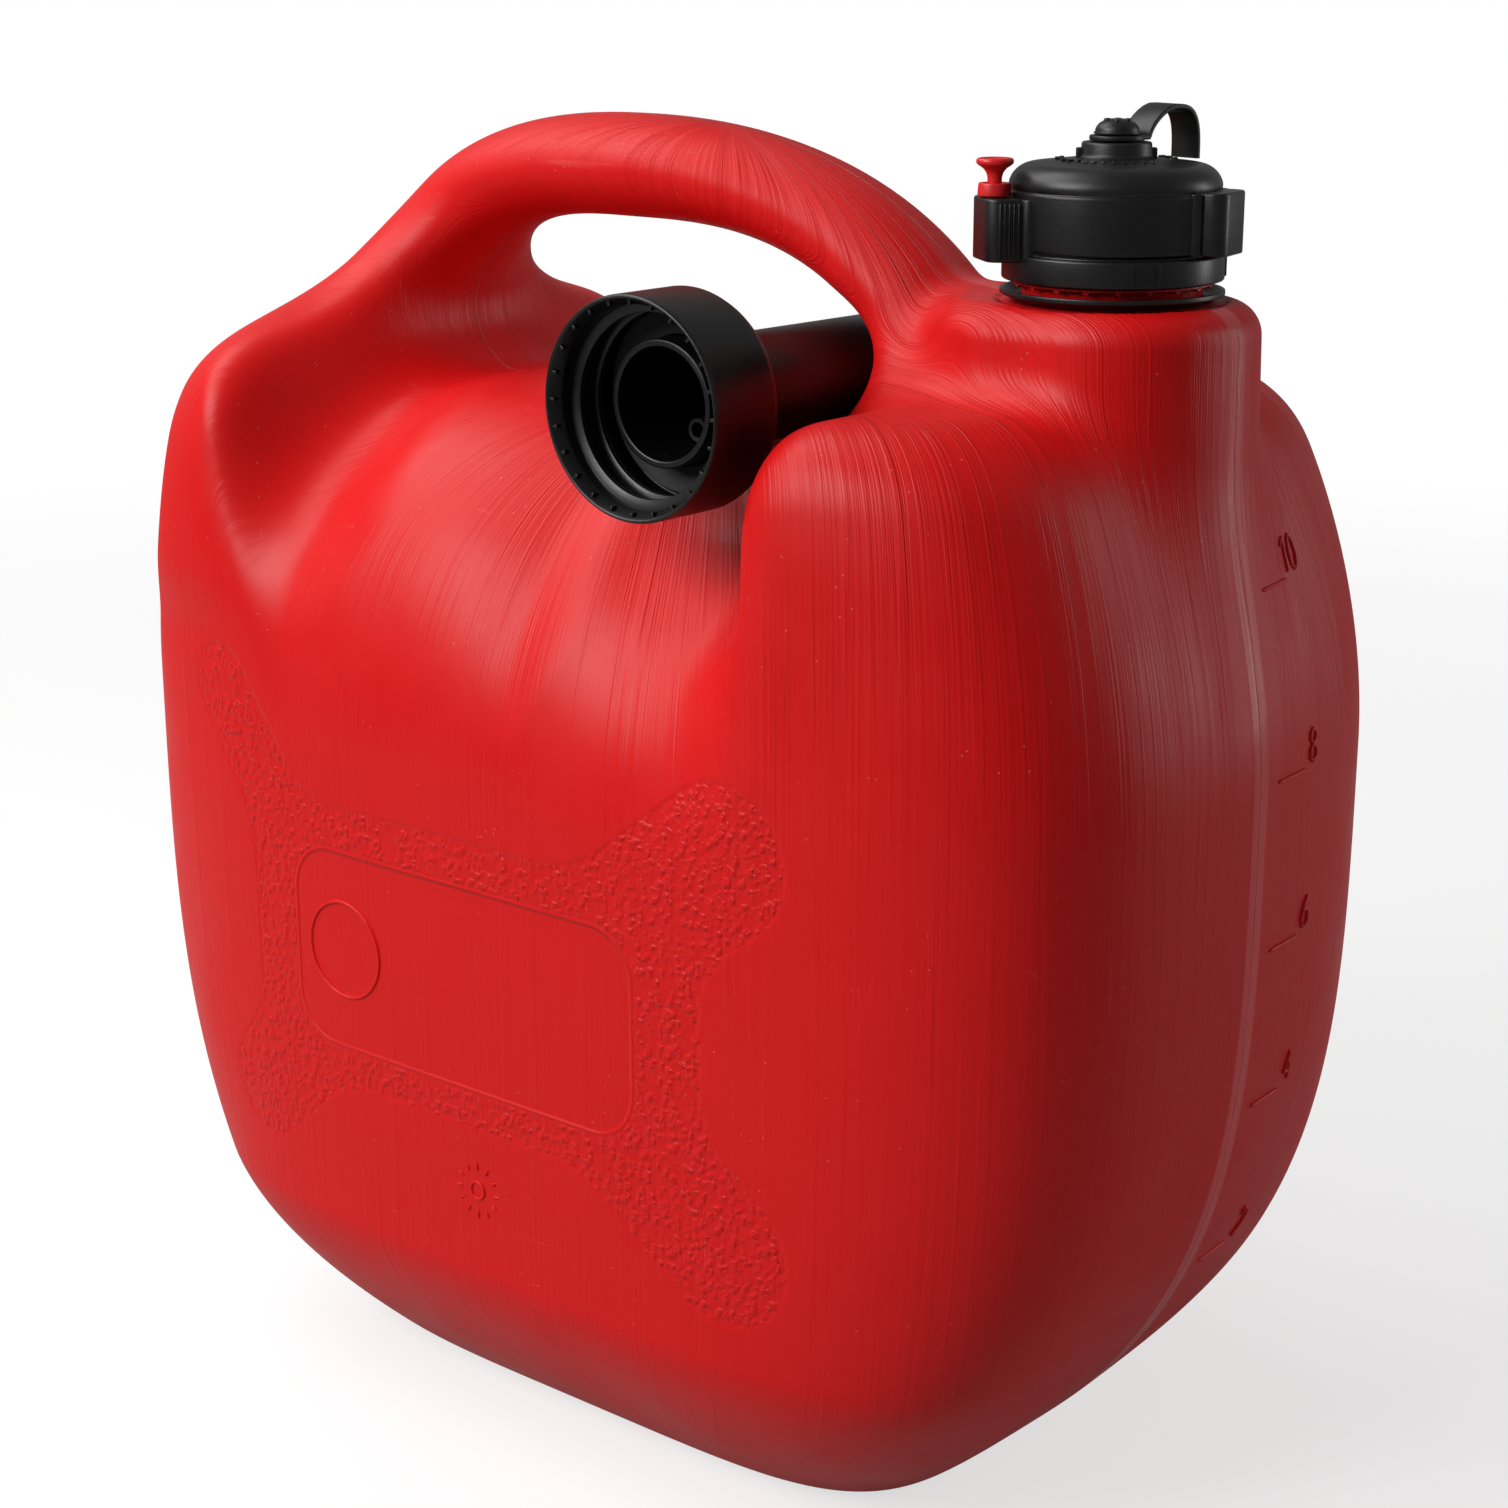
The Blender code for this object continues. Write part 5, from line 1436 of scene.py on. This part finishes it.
class JERRYCAN_OT_vent_plug(bpy.types.Operator):
    """Builds the vent plug in the cap's boss"""

    bl_idname = "jerrycan.vent_plug"
    bl_label = "Vent plug"

    def execute(self, context):
        fittings = context.scene.jerrycan_fittings
        seat = STRAP_LEVEL + STRAP_THICKNESS + GAP
        stem = VENT_BORE - GAP
        outline = [(0.0, seat - PLUG_STEM_LENGTH), (stem - GAP, seat - PLUG_STEM_LENGTH),
                   (stem, seat - STRAP_THICKNESS), (stem, seat), (PLUG_FLANGE_RADIUS, seat),
                   (PLUG_FLANGE_RADIUS, seat + PLUG_FLANGE), (PLUG_DOME_RADIUS + 0.0001, seat + PLUG_FLANGE)]
        for step in range(11):
            angle = 0.5 * math.pi * step / 10
            radius = PLUG_DOME_RADIUS * math.cos(angle) ** 0.8 if step < 10 else 0.0
            outline.append((radius, seat + PLUG_FLANGE + PLUG_DOME_HEIGHT * math.sin(angle)))
        parts = [turned(softened(outline, 0.00015, 2), fittings.sides)]
        plan = [(KNOB_RADIUS * math.cos(a), KNOB_RADIUS * math.sin(a))
                for a in [2.0 * math.pi * n / 16 for n in range(16)]]
        top = seat + PLUG_FLANGE + PLUG_DOME_HEIGHT * 0.88
        knob = slab(plan, top - KNOB_DEPTH, top + KNOB_RISE, 0.0002, 2)
        for number in range(KNOB_COUNT):
            angle = 2.0 * math.pi * number / KNOB_COUNT
            shift = Matrix.Translation((KNOB_CIRCLE * math.cos(angle), KNOB_CIRCLE * math.sin(angle), 0.0))
            parts.append(moved(knob, shift))
        points, faces = moved(combine(parts), Matrix.Translation((NECK_X, 0.0, BLOCK_TOP)))
        finish = black_plastic("black_plug_plastic")
        plug = piece("vent_plug_knob", points, faces, finish, "plug")
        shade(plug)
        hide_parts("vent_plug")
        return {"FINISHED"}


def strap_route():
    """The strap's middle line, as (distance from the cap's axis, height) pairs."""
    low = STRAP_LEVEL + 0.5 * STRAP_THICKNESS
    rise_start = PLUG_FLANGE_RADIUS + STRAP_THICKNESS
    past = STRAP_REACH - STRAP_THICKNESS - (CAP_RADIUS - CAP_SHOULDER)
    foot = CAP_TOP - CAP_CROWN - CAP_SHOULDER + math.sqrt(CAP_SHOULDER**2 - past**2)
    foot = foot + GAP + 0.3 * STRAP_THICKNESS
    points = [(rise_start - 2.0 * STRAP_THICKNESS, low), (rise_start - STRAP_THICKNESS, low)]
    for step in range(41):
        angle = math.pi * step / 40
        bend = STRAP_SLANT_SHARE if step < 20 else STRAP_SQUARE_SHARE
        across = math.copysign(abs(math.cos(angle)) ** bend, math.cos(angle))
        radius = 0.5 * (rise_start + STRAP_REACH) - 0.5 * (STRAP_REACH - rise_start) * across
        base = low if across > 0.0 else foot
        lift = abs(math.sin(angle)) ** bend
        points.append((radius, base + (low + STRAP_RISE - base) * lift))
    return points


class JERRYCAN_OT_vent_strap(bpy.types.Operator):
    """Builds the strap that holds the vent plug, with its eye round the stem"""

    bl_idname = "jerrycan.vent_strap"
    bl_label = "Vent strap"

    def execute(self, context):
        route = strap_route()
        half = (0.5 * STRAP_WIDTH, 0.5 * STRAP_THICKNESS)
        section = softened([(-half[0], -half[1]), (half[0], -half[1]), half, (-half[0], half[1])], 0.0003, 3)
        stations = []
        for n, (r, z) in enumerate(route):
            before = route[max(n - 1, 0)]
            after = route[min(n + 1, len(route) - 1)]
            slope = math.atan2(after[1] - before[1], after[0] - before[0])
            stations.append([(r - h * math.sin(slope), across, z + h * math.cos(slope))
                             for across, h in section])
        turn = Matrix.Rotation(STRAP_ANGLE, 4, "Z")
        parts = [moved(swept(stations), turn)]
        outline = softened([(VENT_BORE, STRAP_LEVEL), (STRAP_EYE_RADIUS, STRAP_LEVEL),
                            (STRAP_EYE_RADIUS, STRAP_LEVEL + STRAP_THICKNESS),
                            (VENT_BORE, STRAP_LEVEL + STRAP_THICKNESS)], 0.0003)
        parts.append(turned(outline, context.scene.jerrycan_fittings.sides))
        shift = Matrix.Translation((NECK_X, 0.0, BLOCK_TOP))
        points, faces = moved(combine(parts), shift)
        strap = piece("vent_strap_band", points, faces, black_plastic("black_strap_plastic", 0.40),
                      None)
        shade(strap)
        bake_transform(strap)
        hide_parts("vent_strap")
        return {"FINISHED"}


class JERRYCAN_OT_locking_pin(bpy.types.Operator):
    """Builds the red locking pin and the collar it slides in"""

    bl_idname = "jerrycan.locking_pin"
    bl_label = "Locking pin"

    def execute(self, context):
        top = LATCH_BASE + LUG_HEIGHT
        bore = PIN_STEM_RADIUS + GAP
        flange = top + GAP + SLEEVE_FLANGE
        shift = Matrix.Translation((NECK_X + PIN_DISTANCE * math.cos(LATCH_ANGLE),
                                    PIN_DISTANCE * math.sin(LATCH_ANGLE), BLOCK_TOP))
        outline = softened([(bore, top - SLEEVE_TUBE_DEPTH), (SLEEVE_TUBE_RADIUS, top - SLEEVE_TUBE_DEPTH),
                            (SLEEVE_TUBE_RADIUS, top + GAP), (SLEEVE_FLANGE_RADIUS, top + GAP),
                            (SLEEVE_FLANGE_RADIUS - 0.0002, flange)]
                           + [(bore + out, flange - down) for out, down in SLEEVE_MOUTH], 0.00025)
        points, faces = moved(turned(outline, PIN_SIDES), shift)
        sleeve = piece("pin_collar", points, faces, red_pin_plastic(), "cap")
        shade(sleeve)
        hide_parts("lock_pin_sleeve")
        head = flange + PIN_TRAVEL + GAP
        stem_low = top - PIN_SINK
        outline = [(0.0, stem_low), (PIN_STEM_RADIUS, stem_low)]
        outline += [(PIN_STEM_RADIUS + out, head - down) for out, down in PIN_FLARE]
        outline += [(radius, head + share * PIN_HEAD) for radius, share in PIN_HEAD_OUTLINE]
        points, faces = moved(turned(softened(outline, 0.0004), PIN_SIDES), shift)
        pin = piece("locking_pin", points, faces, red_pin_plastic(), "pin")
        shade(pin)
        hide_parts("lock_pin")
        return {"FINISHED"}


def spout_shell_part(sides, edge):
    collar_bore = COLLAR_RADIUS - COLLAR_WALL
    floor = COLLAR_LENGTH - COLLAR_FLOOR
    taper_end = COLLAR_LENGTH + 0.6 * (COLLAR_RADIUS - TUBE_RADIUS)
    shoulder = 0.12 * COLLAR_RADIUS
    outline = [(COLLAR_RADIUS - 0.0003, 0.0), (COLLAR_RADIUS, 0.0006),
               (COLLAR_RADIUS, COLLAR_LENGTH - shoulder),
               (COLLAR_RADIUS - 0.35 * shoulder, COLLAR_LENGTH - 0.3 * shoulder),
               (COLLAR_RADIUS - shoulder, COLLAR_LENGTH), (TUBE_RADIUS + 0.0015, taper_end - 0.0008),
               (TUBE_RADIUS, taper_end + 0.002), (TUBE_TIP_RADIUS, SPOUT_LENGTH),
               (TUBE_TIP_RADIUS - TUBE_WALL, SPOUT_LENGTH), (TUBE_RADIUS - TUBE_WALL, taper_end),
               (SLEEVE_RADIUS - TUBE_WALL, floor), (SLEEVE_RADIUS - TUBE_WALL, SLEEVE_RECESS),
               (SLEEVE_RADIUS, SLEEVE_RECESS), (SLEEVE_RADIUS, floor), (collar_bore, floor),
               (collar_bore, 0.0034), (COLLAR_RADIUS - 0.0009, 0.0)]
    return turned(softened(outline, edge), sides)


class JERRYCAN_OT_spout(bpy.types.Operator):
    """Builds the stowed spout with its threaded collar"""

    bl_idname = "jerrycan.spout"
    bl_label = "Pouring spout"

    def execute(self, context):
        fittings = context.scene.jerrycan_fittings
        bore = COLLAR_RADIUS - COLLAR_WALL
        parts = [spout_shell_part(fittings.sides, fittings.edge)]
        parts.append(thread(bore, -1, SPOUT_THREAD_START, SPOUT_THREAD_TURNS, fittings.spout_thread_depth,
                            SPOUT_THREAD_ROOT, SPOUT_THREAD_CREST))
        plan = softened(rectangle(bore + NOTCH_NEAR, bore + NOTCH_FAR, NOTCH_HALF), 0.0002, 2)
        notch = slab(plan, NOTCH_LOW, NOTCH_HIGH, 0.0002, 2)
        for number in range(NOTCH_COUNT):
            parts.append(moved(notch, Matrix.Rotation(2.0 * math.pi * number / NOTCH_COUNT, 4, "Z")))
        place = Matrix.Translation((SPOUT_X, SPOUT_MOUTH_Y, SPOUT_HEIGHT))
        place = place @ Matrix.Rotation(-0.5 * math.pi, 4, "X")
        points, faces = moved(combine(parts), place)
        spout = piece("pouring_spout", points, faces, black_plastic("black_spout_plastic", 0.34),
                      "spout")
        shade(spout)
        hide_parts("spout_body")
        floor = COLLAR_LENGTH - COLLAR_FLOOR - GAP
        inner = SLEEVE_RADIUS + GAP
        outer = bore - THREAD_DEPTH - GAP
        outline = softened([(inner, floor - SPOUT_SEAL_THICKNESS), (outer, floor - SPOUT_SEAL_THICKNESS),
                            (outer, floor), (inner, floor)], 0.0004)
        points, faces = moved(turned(outline, fittings.sides), place)
        seal = piece("spout_seal", points, faces, seal_rubber(), "spout")
        shade(seal)
        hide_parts("spout_gasket")
        return {"FINISHED"}


class JERRYCAN_OT_hidden_pieces(bpy.types.Operator):
    """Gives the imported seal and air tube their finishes"""

    bl_idname = "jerrycan.hidden_pieces"
    bl_label = "Seal and air tube"

    def execute(self, context):
        for node, finish in (("cap_gasket", seal_rubber()),
                             ("spout_vent_tube", black_plastic("black_vent_plastic", 0.42))):
            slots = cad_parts[node].data.materials
            slots.clear()
            slots.append(finish)
        return {"FINISHED"}


# ---------------------------------------------------------------- stage


def white_to_the_camera(tree):
    """1 for a ray from the camera or through glass, and a small share of that for a reflection."""
    path = add(tree, "ShaderNodeLightPath")
    seen = math_node(tree, "MAXIMUM", path.outputs["Is Camera Ray"], path.outputs["Is Transmission Ray"])
    reflected = math_node(tree, "MULTIPLY", path.outputs["Is Glossy Ray"], REFLECTED_SHARE)
    return math_node(tree, "MAXIMUM", seen, reflected)


def floor_material(colour):
    made = bpy.data.materials.new("pale_floor")
    made.use_nodes = True
    tree = made.node_tree
    shader = tree.nodes["Principled BSDF"]
    shader.inputs["Roughness"].default_value = 0.9
    shader.inputs["Specular IOR Level"].default_value = 0.1
    shader.inputs["Emission Color"].default_value = WHITE
    position = add(tree, "ShaderNodeTexCoord").outputs["Object"]
    away = add(tree, "ShaderNodeVectorMath", operation="LENGTH")
    tree.links.new(position, away.inputs[0])
    fade = between(tree, away.outputs["Value"], *FLOOR_FADE)
    tree.links.new(tint(tree, (*colour, 1.0), NO_COLOUR, fade), shader.inputs["Base Color"])
    lift = math_node(tree, "ADD", math_node(tree, "MULTIPLY", fade, 1.0 - FLOOR_LIFT), FLOOR_LIFT)
    lift = math_node(tree, "MULTIPLY", lift, white_to_the_camera(tree))
    tree.links.new(lift, shader.inputs["Emission Strength"])
    return made


def lamp(name, place, size, power):
    data = bpy.data.lights.new(name, "AREA")
    data.shape = "RECTANGLE"
    data.size, data.size_y = size
    data.energy = power
    made = bpy.data.objects.new(name, data)
    bpy.context.scene.collection.objects.link(made)
    made.location = place
    made.rotation_euler = (Vector(LAMP_TARGET) - Vector(place)).to_track_quat("-Z", "Y").to_euler()


class JERRYCAN_OT_stage(bpy.types.Operator):
    """Builds the floor, the soft lamps, the room light and the camera"""

    bl_idname = "jerrycan.stage"
    bl_label = "Studio stage"

    def execute(self, context):
        settings = context.scene.jerrycan_stage
        turns = [2.0 * math.pi * n / FLOOR_SIDES for n in range(FLOOR_SIDES)]
        ring = [(FLOOR_RADIUS * math.cos(a), FLOOR_RADIUS * math.sin(a), -FLOOR_DROP) for a in turns]
        mesh = bpy.data.meshes.new("floor")
        mesh.from_pydata(ring, [], [list(range(FLOOR_SIDES))])
        mesh.materials.append(floor_material(tuple(settings.floor_colour)))
        floor = bpy.data.objects.new("floor", mesh)
        context.scene.collection.objects.link(floor)

        world = bpy.data.worlds.new("studio")
        world.use_nodes = True
        context.scene.world = world
        tree = world.node_tree
        background = tree.nodes["Background"]
        background.inputs["Color"].default_value = WHITE
        level = between(tree, white_to_the_camera(tree), 0.0, 1.0, settings.room_light, 1.0, False)
        tree.links.new(level, background.inputs["Strength"])

        lamp("top_lamp", *TOP_LAMP, settings.top_light)
        lamp("front_lamp", *FRONT_LAMP, settings.front_light)
        lamp("side_lamp", *SIDE_LAMP, settings.side_light)

        lens = bpy.data.cameras.new("camera")
        lens.sensor_width = SENSOR_WIDTH
        lens.lens = settings.focal_length
        camera = bpy.data.objects.new("camera", lens)
        context.scene.collection.objects.link(camera)
        camera.location = CAMERA_PLACE
        camera.rotation_euler = CAMERA_TURN
        context.scene.camera = camera
        context.scene.view_settings.view_transform = "Standard"
        return {"FINISHED"}


OPERATORS = (
    JERRYCAN_OT_body,
    JERRYCAN_OT_neck,
    JERRYCAN_OT_scale_marks,
    JERRYCAN_OT_panel_marks,
    JERRYCAN_OT_neck_ring,
    JERRYCAN_OT_cap,
    JERRYCAN_OT_vent_plug,
    JERRYCAN_OT_vent_strap,
    JERRYCAN_OT_locking_pin,
    JERRYCAN_OT_spout,
    JERRYCAN_OT_hidden_pieces,
    JERRYCAN_OT_stage,
)


class JERRYCAN_PT_pieces(bpy.types.Panel):
    """Lists the jerrycan's pieces and their settings"""

    bl_idname = "JERRYCAN_PT_pieces"
    bl_label = "Jerrycan"
    bl_space_type = "VIEW_3D"
    bl_region_type = "UI"
    bl_category = "Jerrycan"

    def draw(self, context):
        layout = self.layout
        for settings in (context.scene.jerrycan_body, context.scene.jerrycan_fittings,
                         context.scene.jerrycan_stage):
            box = layout.box()
            for name in settings.bl_rna.properties.keys():
                if name not in ("rna_type", "name"):
                    box.prop(settings, name)
        for operator in OPERATORS:
            layout.operator(operator.bl_idname)


CLASSES = (JerrycanBody, JerrycanFittings, JerrycanStage) + OPERATORS + (JERRYCAN_PT_pieces,)


def register():
    for made in CLASSES:
        bpy.utils.register_class(made)
    bpy.types.Scene.jerrycan_body = bpy.props.PointerProperty(type=JerrycanBody)
    bpy.types.Scene.jerrycan_fittings = bpy.props.PointerProperty(type=JerrycanFittings)
    bpy.types.Scene.jerrycan_stage = bpy.props.PointerProperty(type=JerrycanStage)


def unregister():
    del bpy.types.Scene.jerrycan_stage
    del bpy.types.Scene.jerrycan_fittings
    del bpy.types.Scene.jerrycan_body
    for made in reversed(CLASSES):
        bpy.utils.unregister_class(made)


def main():
    register()
    bpy.ops.jerrycan.body()
    bpy.ops.jerrycan.neck()
    bpy.ops.jerrycan.scale_marks()
    bpy.ops.jerrycan.panel_marks()
    bpy.ops.jerrycan.neck_ring()
    bpy.ops.jerrycan.cap()
    bpy.ops.jerrycan.vent_plug()
    bpy.ops.jerrycan.vent_strap()
    bpy.ops.jerrycan.locking_pin()
    bpy.ops.jerrycan.spout()
    bpy.ops.jerrycan.hidden_pieces()
    bpy.ops.jerrycan.stage()


if __name__ == "__main__":
    main()
